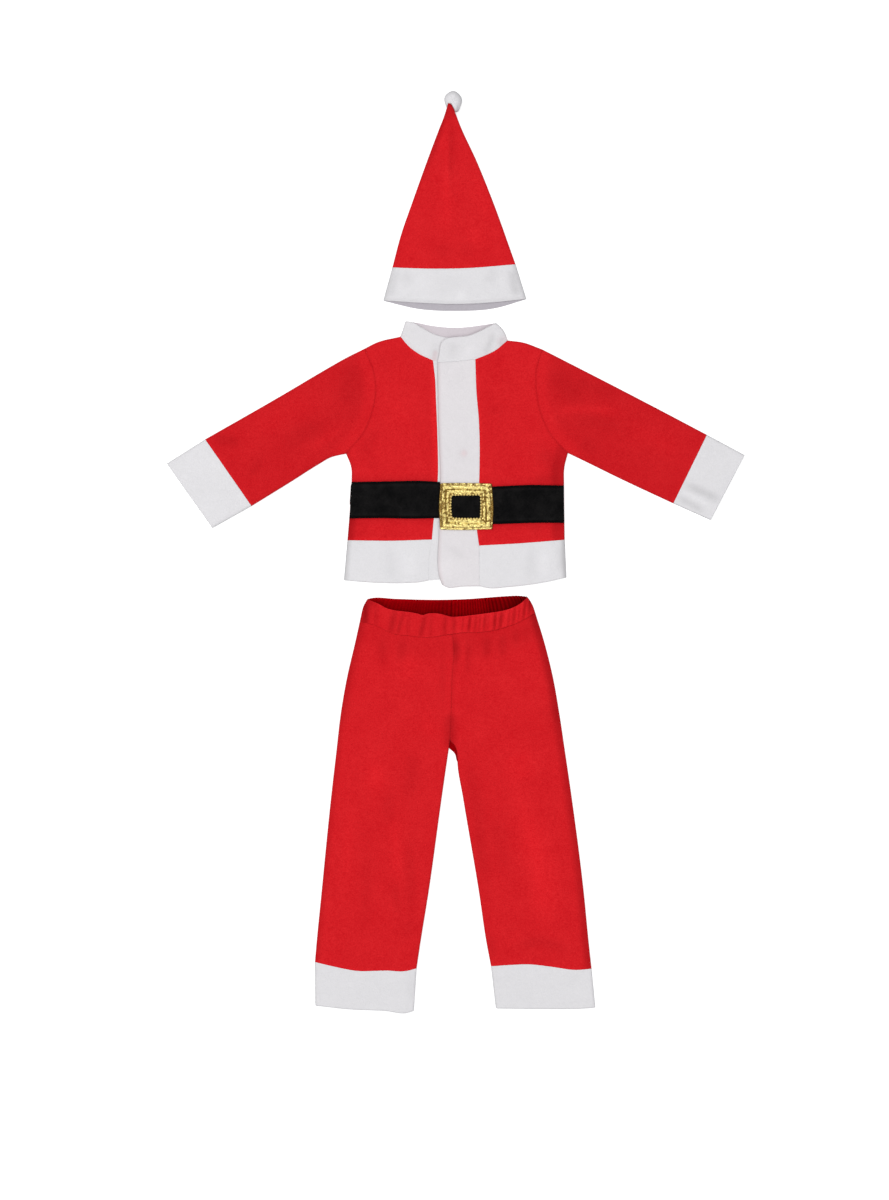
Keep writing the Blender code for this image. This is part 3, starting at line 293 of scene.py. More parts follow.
RED = fleece("red_fleece", (0.80, 0.021, 0.026), (0.637, 0.007, 0.0125), 0.03, RED_GRAIN)
# painted shade: darker copies of the fleece for the insides of tubes, brim, cuffs and collar, where
# light hardly reaches
SHADED_RED = ((0.41, 0.0008, 0.003), (0.23, 0.0004, 0.002))
SHADED_RED_INSIDE = fleece("shaded_red_fleece_inside", *SHADED_RED, 0.0, RED_GRAIN)
WHITE = fleece("white_fleece", (0.872, 0.855, 0.872), (0.782, 0.770, 0.785), 0.06)
SHADED_WHITE_INSIDE = fleece("shaded_white_fleece_inside", (0.56, 0.53, 0.57), (0.48, 0.45, 0.49), 0.03)
SHADED_COLLAR_INSIDE = fleece("shaded_collar_inside", (0.75, 0.69, 0.725), (0.68, 0.62, 0.655), 0.03)
print("fleece:", RED.name, WHITE.name)


# %% [markdown]
# Felt has no weave and no pile: short fibres lie every way, with a little lint on top. Sewing
# thread is two plies twisted together, which a slanting wave is enough to show at its size.

# %% Felt and thread
FIBRE = 360.0
LINT = 60.0
FELT_LIE = (1.0, 3.2, 1.0)
PLIES = 900.0
PLY_SHADE = 0.6


def felt(name, light, dark):
    """Pressed felt: short fibres lying every way, with a few lighter hairs of lint."""
    finish = Finish(name)
    place = finish.place()
    fibre = finish.noise(finish.stretched(place, FELT_LIE), FIBRE, 4.0, 0.7)
    cloud = finish.noise(place, LINT, 3.0)
    # the pressed number paints shade onto the felt
    tone = fibre * 3.0 + cloud * 1.6 - finish.told("pressed") - 1.75
    finish.set(Base_Color=finish.between(tone, dark, light), Roughness=0.92)
    finish.bump(fibre + cloud * 0.4, strength=0.5, distance=0.0007)
    finish.set(Sheen_Weight=0.01, Sheen_Roughness=0.5, Specular_IOR_Level=0.1)
    return finish.material


def thread(name, colour, roughness=0.6, gloss=0.1):
    """Sewing thread: two plies show as slanting bands."""
    finish = Finish(name)
    values = {"Vector": finish.place(), "Scale": PLIES}
    plies = finish.node("ShaderNodeTexWave", {"bands_direction": "DIAGONAL"}, values)
    dark = tuple(PLY_SHADE * part for part in colour)
    finish.set(Base_Color=finish.between(plies, dark, colour), Roughness=roughness)
    finish.set(Specular_IOR_Level=gloss)
    return finish.material


BLACK = felt("black_felt", (0.0086, 0.0078, 0.0078), (0.0006, 0.0006, 0.0008))
WHITE_THREAD = thread("white_thread", (0.74, 0.73, 0.75))
RED_THREAD = thread("red_thread", (0.62, 0.005, 0.012), gloss=0.0)
BLACK_THREAD = thread("black_thread", (0.012, 0.012, 0.013))
GOLD_THREAD = thread("gold_thread", (0.95, 0.72, 0.24), 0.35, 0.5)
BRONZE_THREAD = thread("bronze_thread", (0.34, 0.20, 0.04), 0.45, 0.5)
print("felt and thread:", BLACK.name, GOLD_THREAD.name)


# %% [markdown]
# Lame is cloth woven with flat metal threads. Over padding it crinkles finely, so that every few
# millimetres another small face glitters. A fast, strong bump does that, and the same noise
# paints shade into the hollows and highlights onto the crests. The shader is half metal, half dye.

# %% Lame
CRINKLE = 215.0
DIMPLE = 640.0


def lame(name, light, dark):
    """Gold lame: metal threads over padding, crinkled, with painted shade where the mesh says so.
    """
    finish = Finish(name)
    crinkle = finish.noise(finish.place(), CRINKLE, 4.0, 0.62)
    dimple = finish.noise(finish.place(), DIMPLE, 2.0, 0.6)
    # the crinkle paints shade into hollows and highlights onto crests, and the pressed number
    # paints more shade
    tone = crinkle * 9.0 - 3.0 - finish.told("pressed") * 2.8
    finish.set(Base_Color=finish.between(tone, dark, light))
    finish.bump(crinkle + dimple * 0.35, strength=1.0, distance=0.0022)
    finish.set(Roughness=0.08 + 0.22 * dimple, Metallic=0.6)
    return finish.material


GOLD = lame("gold_lame", (1.0, 0.81, 0.29), (0.24, 0.135, 0.02))
LOOPS = felt("hook_and_loop", (0.66, 0.66, 0.68), (0.50, 0.50, 0.52))
print("lame:", GOLD.name)

# %% [markdown]
# ## Cloth between seam lines
#
# A maker cuts a panel along its seam lines. Here too, a panel is what lies between four lines: a
# Coons patch, which blends the two pairs of opposite sides. A line is a short table of points with
# a smooth curve through them, and a side may have a corner, as at the underarm.
#
# The grid runs every few millimetres, and closer near the edges, where cloth rolls over or dips
# into its seam. A plain grid from bmesh is laid out by the patch, so its squares follow the cloth.

# %% Lines
Point = namedtuple("Point", "x y")


def line(*pairs):
    """A short table of points, columns x and y."""
    return [Point(*pair) for pair in pairs]


def smooth_line(points, per_span=10):
    """A smooth line through the points (Catmull-Rom by length), as many short straight steps."""
    points = np.array([tuple(point) for point in points], float)
    spans = np.diff(points, axis=0)
    lengths = np.linalg.norm(spans, axis=1, keepdims=True)
    courses = spans / lengths
    turns = (courses[:-1] * lengths[1:] + courses[1:] * lengths[:-1]) / (lengths[:-1] + lengths[1:])
    slopes = np.vstack([courses[:1], turns, courses[-1:]])
    steps = []
    for index, length in enumerate(lengths):
        for share in np.arange(per_span) / per_span:
            square, cube = share**2, share**3
            steps.append(
                (2 * cube - 3 * square + 1) * points[index]
                + (cube - 2 * square + share) * slopes[index] * length
                + (3 * square - 2 * cube) * points[index + 1]
                + (cube - square) * slopes[index + 1] * length
            )
    return np.vstack([steps, points[-1]])


def length_between(first, second):
    return np.linalg.norm(second - first, axis=-1)


def reel_of(course):
    """How far along a line each of its points is."""
    return np.concatenate([[0], np.cumsum(length_between(course[1:], course[:-1]))])


class Side:
    """One side of a panel: smooth stretches that meet at corners, read by a share from 0 to 1."""

    def __init__(self, *stretches, corners=()):
        marks = (0.0, *corners, 1.0)
        places, points = [], []
        for stretch, low, high in zip(stretches, marks, marks[1:]):
            course = smooth_line(stretch)
            reach = reel_of(course)
            places.append(low + (high - low) * reach / reach[-1])
            points.append(course)
        self.places = np.concatenate(places)
        self.points = np.concatenate(points)

    def at(self, share):
        return np.stack([np.interp(share, self.places, axis) for axis in self.points.T], axis=-1)


print("a bent line of", len(smooth_line([(0, 0), (3, 4), (6, 0)])), "points")

# %% Panels
EDGE_ROWS = np.array([0.0, 0.3, 0.8, 1.5, 2.4, 3.6])  # the grid's first lines, in from an edge
EDGE_MOST = 0.4  # the share of a narrow panel that they may take up at either edge
STEP = 3.0  # spacing of the grid elsewhere
COARSE_STEP = 4.5  # for the layers that lie on the table
FINE_STEP = 2.0  # for bands with marks, folds and stitches
NO_CORNERS = ((), ())


def shares(count, length, corners):
    """Where the grid's lines cross an edge: close at its ends, and one at each corner."""
    edge = EDGE_ROWS * min(1 / length, EDGE_MOST / EDGE_ROWS[-1])
    between = np.linspace(edge[-1], 1 - edge[-1], count + 1)
    found = np.concatenate([edge[:-1], between, 1 - edge[-2::-1]])
    marks = [len(edge) - 1 + round(corner * count) for corner in corners]
    return np.interp(found, [0, *found[marks], 1], [0, *corners, 1])


def panel(bottom, top, left, right, step=STEP, like=None, corners=NO_CORNERS):
    """The Coons patch between four sides, as a grid of points in the plane of the table."""
    probe = np.linspace(0, 1, 9)
    wide = length_between(left.at(probe), right.at(probe)).max()
    tall = length_between(bottom.at(probe), top.at(probe)).max()
    columns, rows = max(3, round(wide / step)), max(3, round(tall / step))
    if like is not None:
        columns, rows = [size - 2 * len(EDGE_ROWS) + 1 for size in like.shape[:2]]
    heights = shares(rows, tall, corners[1])
    widths = shares(columns, wide, corners[0])
    row_widths = length_between(left.at(heights), right.at(heights))
    column_heights = length_between(bottom.at(widths), top.at(widths))
    s = np.stack([shares(columns, width, corners[0]) for width in row_widths], axis=1)
    v = np.stack([shares(rows, height, corners[1]) for height in column_heights], axis=0)
    s_side, v_side = s[..., None], v[..., None]
    ruled = (1 - v_side) * bottom.at(s) + v_side * top.at(s)
    ruled += (1 - s_side) * left.at(v) + s_side * right.at(v)
    ends = (1 - s_side) * ((1 - v_side) * bottom.at(0.0) + v_side * top.at(0.0))
    ends += s_side * ((1 - v_side) * bottom.at(1.0) + v_side * top.at(1.0))
    return ruled - ends


def from_line(grid, points):
    """How far each place is from a line, and how far along the line the nearest point of it is."""
    start = points[:-1]
    step = np.diff(points, axis=0)
    length = np.maximum(np.linalg.norm(step, axis=1), 1e-9)
    before = np.concatenate([[0], np.cumsum(length)[:-1]])
    away = grid[..., None, :] - start
    share = np.clip((away * step).sum(-1) / length**2, 0, 1)
    distance = np.linalg.norm(away - share[..., None] * step, axis=-1)
    nearest = distance.argmin(-1)
    share = np.take_along_axis(share, nearest[..., None], -1)[..., 0]
    along = before[nearest] + share * length[nearest]
    return distance.min(-1), along / length.sum()


def distance_to(grid, seam):
    return from_line(grid, smooth_line(seam))[0]


print("edge lines at", EDGE_ROWS.tolist(), "mm, then every", STEP, "mm")

# %% [markdown]
# ## How cloth lies
#
# Height is worked out at every point of a grid, from five plain causes:
#
# - the layer's own height, with a round shoulder where it turns down to the seam at its side
# - a ditch at each sewn edge, and a softer fall at a folded one
# - creases placed one by one: a line with a width and a rise, fading at both its ends
# - puckers beside a seam, where the thread draws the cloth in
# - a slow unevenness, a few tenths of a millimetre, since no cloth lies perfectly even

# %% Heights of the layers
SEAM_HEIGHT = 3.4  # the side seams, half way up
CROWN = 6.7  # the upper layer
SIDE_GAP = 0.5  # between the edges of the two layers
UNDER_SHARE = 0.25  # how much of its unevenness the lower layer keeps, pressed by its own weight
FLEECE_WALL = 2.0
BAND_WALL = 2.4
SEAM_GAP = 0.03  # each piece's share of the space at a seam
SEAM_REACH = 3.0  # how far in from a seam a piece gives way for it
HEM_EDGE = {"depth": 0.9, "width": 1.4}  # how the edge of a sewn hem rounds down
HEM_STITCHES = {"depth": 0.4, "width": 1.5}  # and how its stitches sink in
TURNED_HEM = {"depth": 1.1, "width": 1.8}  # a hem that is only turned in is rounder

ROUND = 5.0  # how far in from its side seam a layer is round
ROUND_MOST = 0.42  # of a narrow tube's width
CREASE_END = 0.25  # the share of a crease's rise that is left at its ends
CREASE_FADE = 0.3  # the share of its length over which it fades

Crease = namedtuple("Crease", "width rise points")
CREASES = []  # filled garment by garment


def add_creases(*rows):
    """Rows of a width, a rise and the points along the crease."""
    CREASES.extend(Crease(width, rise, line(*points)) for width, rise, *points in rows)
    print("creases so far:", len(CREASES))


def ease(value, low, high):
    """0 below low, 1 above high, and a smooth step between them."""
    share = np.clip((value - low) / (high - low), 0, 1)
    return share * share * (3 - 2 * share)


def bell(away, width):
    """1 in the middle, and fading smoothly to both sides."""
    return np.exp(-((away / width) ** 2))


def creases(grid):
    """The sum of all creases at each point of a grid."""
    total = np.zeros(grid.shape[:-1])
    for crease in CREASES:
        ends = np.array(crease.points, float)
        low, high = ends.min(0) - 3 * crease.width, ends.max(0) + 3 * crease.width
        near = ((grid > low) & (grid < high)).all(-1)
        if near.any():
            distance, along = from_line(grid[near], smooth_line(crease.points, 6))
            middle = ease(along, 0.0, CREASE_FADE) * (1 - ease(along, 1 - CREASE_FADE, 1.0))
            fade = CREASE_END + (1 - CREASE_END) * middle
            total[near] += crease.rise * fade * bell(distance, crease.width)
    return total


FULL_TURN = 2 * math.pi
LENGTHS = (190.0, 120.0, 83.0, 57.0, 39.0, 26.0, 17.0)  # of the waves of slow unevenness
RISES = (0.30, 0.22, 0.20, 0.16, 0.12, 0.08, 0.05)
WAVES = [(length, rise, rng.uniform(0, FULL_TURN, 2)) for length, rise in zip(LENGTHS, RISES)]


def unevenness(grid):
    total = np.zeros(grid.shape[:-1])
    for length, rise, (turn, start) in WAVES:
        ahead, aside = math.cos(turn), math.sin(turn)
        course = (grid[..., 0] * ahead + grid[..., 1] * aside) * FULL_TURN / length
        side = (grid[..., 1] * ahead - grid[..., 0] * aside) * FULL_TURN / length
        bend = 1.3 * np.sin(0.7 * side + start)
        total += rise * np.sin(course + start + bend) * np.cos(0.8 * side)
    return total


def pucker(grid, seam, pitch=9.0, rise=0.22, reach=6.0):
    """Small draws in the cloth beside a seam, fading away from it."""
    course = smooth_line(seam)
    distance, along = from_line(grid, course)
    reel = along * reel_of(course)[-1]
    swing = np.sin(FULL_TURN * reel / pitch + 2.2 * np.sin(reel / (1.7 * pitch)))
    return rise * swing * bell(distance, reach)


def shoulder(grid, *seams, width=ROUND):
    """1 inside a panel and 0 on its side seams, with a round shoulder between."""
    value = np.ones(grid.shape[:-1])
    for seam in seams:
        near = np.clip(distance_to(grid, seam) / width, 0, 1)
        value = value * np.sqrt(1 - (1 - near) ** 2)
    return value


def ditch(grid, *seams, depth=0.4, width=2.2):
    """How far the cloth dips towards sewn edges."""
    total = np.zeros(grid.shape[:-1])
    for seam in seams:
        near = np.clip(distance_to(grid, seam) / width, 0, 1)
        total = np.maximum(total, depth * (1 - near) ** 2)
    return total


def upper_height(grid):
    return CROWN + creases(grid) + unevenness(grid)


def swell(grid):
    """How far a lower layer stands off the table: a little, and more under a crease."""
    return UNDER_SHARE * np.abs(unevenness(grid)) + UNDER_SHARE * np.abs(creases(grid))


def with_height(grid, height):
    return np.concatenate([grid, height[..., None]], axis=-1)


def upper_layer(grid, height, *seams, width=ROUND):
    """An upper panel, rounded down to its side seams."""
    low = SEAM_HEIGHT + SIDE_GAP / 2
    return with_height(grid, low + (height - low) * shoulder(grid, *seams, width=width))


def lower_layer(grid, *seams):
    """A lower panel, on the table but for faint swells, and rounded up to its side seams."""
    rolled = 1 - shoulder(grid, *seams)
    return with_height(grid, swell(grid) + (SEAM_HEIGHT - SIDE_GAP / 2) * rolled)


def wrapped(front, back, height, seams, lift=0.0, width=ROUND):
    """A piece folded into a flat tube: over the front, round its fold, back to its seam."""
    reach = np.minimum(width, ROUND_MOST * length_between(front[0], front[-1]))
    upper = SEAM_HEIGHT + (height - SEAM_HEIGHT) * shoulder(front, *seams, width=reach)
    lower = swell(back) + SEAM_HEIGHT * (1 - shoulder(back, *seams, width=reach))
    upper[0] += SIDE_GAP / 2
    lower[0] -= SIDE_GAP / 2
    over, under = with_height(front, upper + lift), with_height(back, lower + lift)
    return np.concatenate([over, under[-2::-1]])


print("waves of unevenness:", len(WAVES))

# %% [markdown]
# ### Sewing a piece
#
# Two panels that share a seam line would touch, so each is drawn back from it by a hair. The grid
# is the outside of the cloth, and a Solidify modifier gives it a wall inward. Every point also
# carries how much shade is painted there, and the colour of the cloth darkens that far.


# %% Sewing a piece
def draw_back(points, sides):
    """Draw the named sides of a grid back from their seam lines, to part the pieces there."""
    turned = points.swapaxes(0, 1)
    views = {"left": points, "right": points[::-1], "bottom": turned, "top": turned[::-1]}
    for side in sides:
        lines = views[side][..., :2]
        reach = np.linalg.norm(lines - lines[0], axis=-1)
        fixed = int(np.argmax(reach.mean(axis=1) > SEAM_REACH))
        kept = 1 - SEAM_GAP / np.maximum(reach[fixed], SEAM_REACH / 2)
        lines[:fixed] = lines[fixed] + (lines[:fixed] - lines[fixed]) * kept[:, None]


def cut_of(grid, layers=1):
    """The flat cut of a panel in metres: its width, its length and its area, on every layer."""
    across = length_between(grid[1:], grid[:-1]).sum(0).max()
    along = length_between(grid[:, 1:], grid[:, :-1]).sum(1).max()
    first, second = grid[1:, 1:] - grid[:-1, :-1], grid[:-1, 1:] - grid[1:, :-1]
    area = np.abs(first[..., 0] * second[..., 1] - first[..., 1] * second[..., 0]).sum() / 2
    return layers * across * MM, along * MM, layers * area * MM * MM


def laid_grid(name, points, outward=1):
    """A mesh of squares through a grid of points, with its map in metres along the cloth."""
    middle = points.shape[0] // 4  # a quarter round a tube is the middle of its front
    across = points[middle + 1, 1] - points[middle, 1]
    along = points[middle, 2] - points[middle, 1]
    flipped = (across[0] * along[1] - across[1] * along[0]) * outward < 0
    points = points[:, ::-1] if flipped else points
    columns, rows = points.shape[0] - 1, points.shape[1] - 1
    squares = bmesh.new()
    bmesh.ops.create_grid(squares, x_segments=columns, y_segments=rows, size=1)
    mesh = mesh_of(name, squares)
    place = np.zeros(len(mesh.vertices) * 3, np.float32)
    mesh.vertices.foreach_get("co", place)
    place = place.reshape(-1, 3)
    i = np.rint((place[:, 0] + 1) / 2 * columns).astype(int)
    j = np.rint((place[:, 1] + 1) / 2 * rows).astype(int)
    mesh.vertices.foreach_set("co", (points[i, j] * MM).astype(np.float32).ravel())
    reel = np.zeros((*points.shape[:2], 2))
    reel[1:, :, 0] = np.cumsum(length_between(points[1:], points[:-1]), axis=0)
    reel[:, 1:, 1] = np.cumsum(length_between(points[:, 1:], points[:, :-1]), axis=1)
    corner = np.zeros(len(mesh.loops), np.int32)
    mesh.loops.foreach_get("vertex_index", corner)
    layer = mesh.uv_layers.new(name="cloth")
    layer.data.foreach_set("uv", (reel[i, j][corner] * MM).astype(np.float32).ravel())
    return mesh, i, j, flipped


def add_piece(name, mesh, node, finish):
    """Show a mesh as the piece that stands for a node of the frame."""
    mesh.materials.append(finish)
    mesh.shade_smooth()
    piece = shown(name, mesh)
    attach(piece, "root")
    if node:
        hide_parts(node)
    return piece


TABLE = ["table"]
SHADE_LEVEL = 0.2  # painted shade where nothing bends the cloth
STEEP_SHADE = 0.2  # painted shade added where the cloth is steep
CREASE_SHADE = 0.1  # and for each millimetre of a crease: painted shade in its trough, painted light on its ridge
CUTS = {}  # each piece's flat cut, for the list at the end


def steepness(points):
    """How far the cloth turns away from lying flat, from 0 to 1: shade is painted there."""
    normal = np.cross(np.gradient(points, axis=0), np.gradient(points, axis=1))
    return 1 - np.abs(normal[..., 2]) / np.maximum(np.linalg.norm(normal, axis=-1), 1e-9)


def beside(points, *rows):
    """Painted shade along lines, fading away from them; below 0, painted light.

    A row is a line, an amount, a reach and, where it isn't a fifth, the share of the reach that
    is shaded evenly.
    """
    total = np.zeros(points.shape[:-1])
    for seam, amount, reach, *even in rows:
        even = even[0] if even else 0.2
        total += amount * (1 - ease(distance_to(points[..., :2], seam), even * reach, reach))
    return total


def cloth(
    node, points, wall, finish, cut, on, sewn=(), outward=1, inside=None, nap_and_painted_shade=0.0, show_through_and_painted_red_light=None
):
    """Cloth through a grid of outer points, with its wall inside. outward is 1 up, -1 down."""
    draw_back(points, sewn)
    # painted shade: a level, more where the cloth is steep and in the troughs of creases, less on
    # their ridges, plus the shade painted for this piece
    painted_shade = SHADE_LEVEL + nap_and_painted_shade + STEEP_SHADE * steepness(points) - CREASE_SHADE * creases(points[..., :2])
    mesh, i, j, flipped = laid_grid(node + "_cloth", points, outward)
    for name, amount in (("pressed", painted_shade), ("show_through_and_painted_red_light", show_through_and_painted_red_light)):
        if amount is not None:
            amount = amount[:, ::-1] if flipped else amount
            told = mesh.attributes.new(name, "FLOAT", "POINT")
            told.data.foreach_set("value", np.clip(amount, 0, 1)[i, j].astype(np.float32))
    piece = add_piece(node + "_cloth", mesh, node, finish)
    solidify = piece.modifiers.new("wall", "SOLIDIFY")
    solidify.thickness = wall * MM
    solidify.offset = -1
    solidify.use_even_offset = False
    if inside:
        mesh.materials.append(inside)
        solidify.material_offset = 1
    width, length, area = cut
    CUTS[node] = (round(width, 3), round(length, 3), round(area, 4))
    return piece


print("a piece is a grid, a wall and a flat cut")

# %% [markdown]
# ## Stitches
#
# A line of topstitching is a row of short threads, each lying in the cloth and diving at both
# ends. One stitch is a small stretched ball with few faces, copied along the line. Real stitches
# are never quite even, so each turns a little.


# %% Rows of stitches
TIPPED = Matrix.Rotation(math.pi / 2, 3, "Y")  # turns a ball's poles along the thread
UNEVEN_STITCH = 0.05  # radians


def stitches(name, course, surface, finish, length=2.3, pitch=3.1, thick=0.55, sunk=0.12):
    """Threads along a line, lying on a surface given as a height for each place."""
    course = np.asarray(course, float)
    reach = reel_of(course)

    def at(places):
        return np.stack([np.interp(places, reach, axis) for axis in course.T], axis=-1)

    count = int(reach[-1] / pitch)
    places = (np.arange(count) + 0.5) * reach[-1] / count
    spots = at(places)
    ahead = at(places + 0.5) - at(places - 0.5)
    courses = np.arctan2(ahead[:, 1], ahead[:, 0])
    heights = surface(spots[:, None, :])[:, 0]
    threads = bmesh.new()
    for spot, angle, height in zip(spots, courses, heights):
        made = bmesh.ops.create_uvsphere(threads, u_segments=6, v_segments=5, radius=0.5)["verts"]
        lean = angle + rng.normal(0, UNEVEN_STITCH)
        bmesh.ops.rotate(threads, verts=made, cent=(0, 0, 0), matrix=TIPPED)
        bmesh.ops.scale(threads, verts=made, vec=(length * MM, thick * MM, thick * MM))
        bmesh.ops.rotate(threads, verts=made, cent=(0, 0, 0), matrix=Matrix.Rotation(lean, 3, "Z"))
        place = (spot[0] * MM, spot[1] * MM, (height - sunk + thick / 4) * MM)
        bmesh.ops.translate(threads, verts=made, vec=place)
    add_piece(name, mesh_of(name, threads), None, finish)
    print(name, "stitches:", count)

# %% [markdown]
# ## The hat
#
# The crown is a cone cut from one panel, folded flat with its seam at one side. The brim is a
# separate tube of white fleece. Its back is a little longer than its front, so a crescent of its
# inside shows below the front edge. The front edge is turned in and sewn down, which leaves a line
# of stitches and small puckers.

# %% Seam lines of the hat
BRIM_SEAM_LEFT = Point(-101.8, 454.6)
BRIM_SEAM_RIGHT = Point(95.3, 459.7)
BRIM_LOW_LEFT = Point(-116.4, 401.6)
BRIM_LOW_RIGHT = Point(112.5, 404.2)
HAT_TIP_LEFT = Point(-12.9, 714.8)
HAT_TIP_RIGHT = Point(-9.1, 714.8)
BRIM_SEAM = line(BRIM_SEAM_LEFT, (-60.0, 453.0), (20.0, 453.6), BRIM_SEAM_RIGHT)
BRIM_LOW_FRONT = line(BRIM_LOW_LEFT, (-60.0, 398.0), (0.0, 395.8), (60.0, 398.6), BRIM_LOW_RIGHT)
BRIM_LOW_BACK = line(BRIM_LOW_LEFT, (-60.0, 388.6), (0.0, 385.4), (60.0, 389.2), BRIM_LOW_RIGHT)
HAT_LEFT = line(
    BRIM_SEAM_LEFT, (-88.6, 504.8), (-68.7, 562.4), (-45.8, 626.2), (-26.6, 677.3),
    (-16.6, 702.8), HAT_TIP_LEFT,
)
HAT_RIGHT = line(
    BRIM_SEAM_RIGHT, (58.2, 562.6), (32.3, 626.5), (8.4, 677.8), (-1.2, 701.4),
    (-4.6, 708.6), HAT_TIP_RIGHT,
)
BRIM_SIDES = (line(BRIM_LOW_LEFT, BRIM_SEAM_LEFT), line(BRIM_LOW_RIGHT, BRIM_SEAM_RIGHT))
BRIM_HEM = 2.9  # from the brim's edge to its stitches
BRIM_STITCHES = line(*[(x, y + BRIM_HEM) for x, y in BRIM_LOW_FRONT])
TIP_MIDDLE = (HAT_TIP_LEFT.x + HAT_TIP_RIGHT.x) / 2
TIP_BEND = 686.0  # from here the hat's tip climbs the pompom
TIP_RISE = 14.6
BRIM_OPEN = 0.8  # the brim stands this much fuller
MOUTH_FALL = 2.4  # an open end's upper rim sinks this far towards the lower one
MOUTH_REACH = 6.5

# %% Creases of the hat
add_creases(
    (14, 0.9, (-14, 618), (-15, 560), (-16, 509)),
    (4, 0.5, (-13, 680), (-14, 600), (-13, 520)),
    (4.5, -0.9, (-6, 705), (-6, 650), (-5, 570)),
    (9, -0.6, (-3, 700), (-2, 600)),
    (10, 0.9, (-24, 665), (-22, 640)),
    (7, -1.6, (-22, 700), (-32, 660), (-44, 622)),
    (14, -0.8, (-18, 495), (-18, 468)),
    (12, -0.7, (18, 500), (17, 470)),
    (16, 0.9, (34, 520), (33, 490)),
    (14, 0.6, (30, 600), (60, 520)),
    (8, -2.4, (91, 456), (94, 432), (100, 406)),
    (10, -1.1, (64, 454), (50, 428)),
    (6, -1.4, (-92, 452), (-99, 430), (-106, 404)),
    (10, -1.0, (-86, 446), (-68, 426)),
    (12, 0.8, (0, 412), (14, 404)),
    (20, 0.5, (-70, 440), (-60, 415)),
    (26, -0.5, (-10, 445), (-5, 410)),
)

# %% The crown
TIP_FOLD = line((-56, 598), (-26.6, 677.3), HAT_TIP_LEFT)
# painted shade beside the tip's fold and along the top of both sides, painted light by the brim
# seam
CROWN_SHADE = (
    (TIP_FOLD, 0.13, 11), (BRIM_SEAM, -0.1, 5), (HAT_RIGHT[-3:], 0.15, 8), (HAT_LEFT[-3:], 0.08, 7),
)

sides = (Side(HAT_LEFT), Side(HAT_RIGHT))
crown = panel(Side(BRIM_SEAM), Side([HAT_TIP_LEFT, HAT_TIP_RIGHT]), *sides)
lift = TIP_RISE * ease(crown[..., 1], TIP_BEND, HAT_TIP_LEFT.y)
height = upper_height(crown) + pucker(crown, BRIM_SEAM) - ditch(crown, BRIM_SEAM)
points = wrapped(crown, crown, height, (HAT_LEFT, HAT_RIGHT), lift)
nap_and_painted_shade = beside(points, *CROWN_SHADE)
cloth("hat_crown", points, FLEECE_WALL, RED, cut_of(crown, 2), TABLE, sewn=["bottom"], nap_and_painted_shade=nap_and_painted_shade)
print("crown: squares", crown.shape[0] - 1, "by", crown.shape[1] - 1)


# %% The brim
def brim_surface(grid):
    """The brim's front: fuller towards its mouth, and sunk again at the very edge."""
    mouth = 1 - ease(grid[..., 1], BRIM_LOW_FRONT[2].y, BRIM_SEAM[1].y)
    closing = MOUTH_FALL * (1 - ease(distance_to(grid, BRIM_LOW_FRONT), 0, MOUTH_REACH))
    sewn = ditch(grid, BRIM_SEAM) + ditch(grid, BRIM_LOW_FRONT, **HEM_EDGE)
    stitched = ditch(grid, BRIM_STITCHES, **HEM_STITCHES)
    drawn = pucker(grid, BRIM_SEAM)
    drawn += pucker(grid, BRIM_LOW_FRONT, pitch=7.0, rise=0.16, reach=5.0)
    return upper_height(grid) + BRIM_OPEN * mouth + drawn - sewn - stitched - closing


sides = [Side(points) for points in BRIM_SIDES]
front = panel(Side(BRIM_LOW_FRONT), Side(BRIM_SEAM), *sides)
back = panel(Side(BRIM_LOW_BACK), Side(BRIM_SEAM), *sides, like=front)
points = wrapped(front, back, brim_surface(front), BRIM_SIDES)
# painted shade at both sides of the brim
nap_and_painted_shade = beside(points, *[(side, 0.22, 8) for side in BRIM_SIDES])
cut = cut_of(front, 2)
cloth("hat_brim", points, BAND_WALL, WHITE, cut, TABLE, ["top"], inside=SHADED_WHITE_INSIDE, nap_and_painted_shade=nap_and_painted_shade)
stitches("brim_stitches", smooth_line(BRIM_STITCHES)[2:-2], brim_surface, WHITE_THREAD)

# %% [markdown]
# The pompom is a small stuffed fleece ball sewn to the hat's tip. It rests on the table, and the
# tip lies on its near side. Where the ball is tied it draws into small folds, which fade away from
# the tip.

# %% The pompom
POMPOM_WIDTH = 31.0
POMPOM_LENGTH = 33.4
POMPOM_HEIGHT = 21.0
POMPOM_MIDDLE = Point(-6.1, 719.2)
POMPOM_REST = 0.16  # share of its height where the ball is pressed flat on the table
POMPOM_TAPER = 0.2
POMPOM_LEAN = 3.4
POMPOM_HOLLOW = 1.5  # how softly the ball gives way round the hat's tip
TIP_SLOPE = 0.22
TIP_HALF = 3.2
TIP_SPREAD = 0.33  # how much wider the tip is for each millimetre down
TIP_SPACE = 0.3  # between the tip and the ball under it
BALL_SHADE = (-0.06, 0.24)  # painted shade: a little less in its middle, more at its rim, over the usual level


def lumpy(unit):
    """A ball's place, moved out or in: soft lumps, and small folds on the tied side."""
    turn = math.atan2(unit[0], unit[1])
    lump = 0.03 * math.sin(2.2 * turn + 5 * unit[2])
    lump += 0.022 * math.sin(5 * turn - 3 * unit[2] + 1.0)
    tied = ease(-unit[1], 0.0, 0.5) * math.sin(9 * math.atan2(unit[0], unit[2] + 0.2))
    return unit * (1 + (lump + 0.05 * tied))


def under_tip(x, y):
    """How high the ball may stand at x, y, so that the hat's tip has room on it."""
    room = TIP_RISE * ease(y, TIP_BEND, HAT_TIP_LEFT.y) - TIP_SPACE
    down = HAT_TIP_LEFT.y - y
    half = TIP_HALF + TIP_SPREAD * max(down, 0.0)
    aside = ease(abs(x - TIP_MIDDLE - TIP_SLOPE * down), half, half + POMPOM_HOLLOW)
    above = ease(-down, -0.2, 0.8 * POMPOM_HOLLOW)
    return max(room, 0.0) + POMPOM_HEIGHT * max(aside, above)


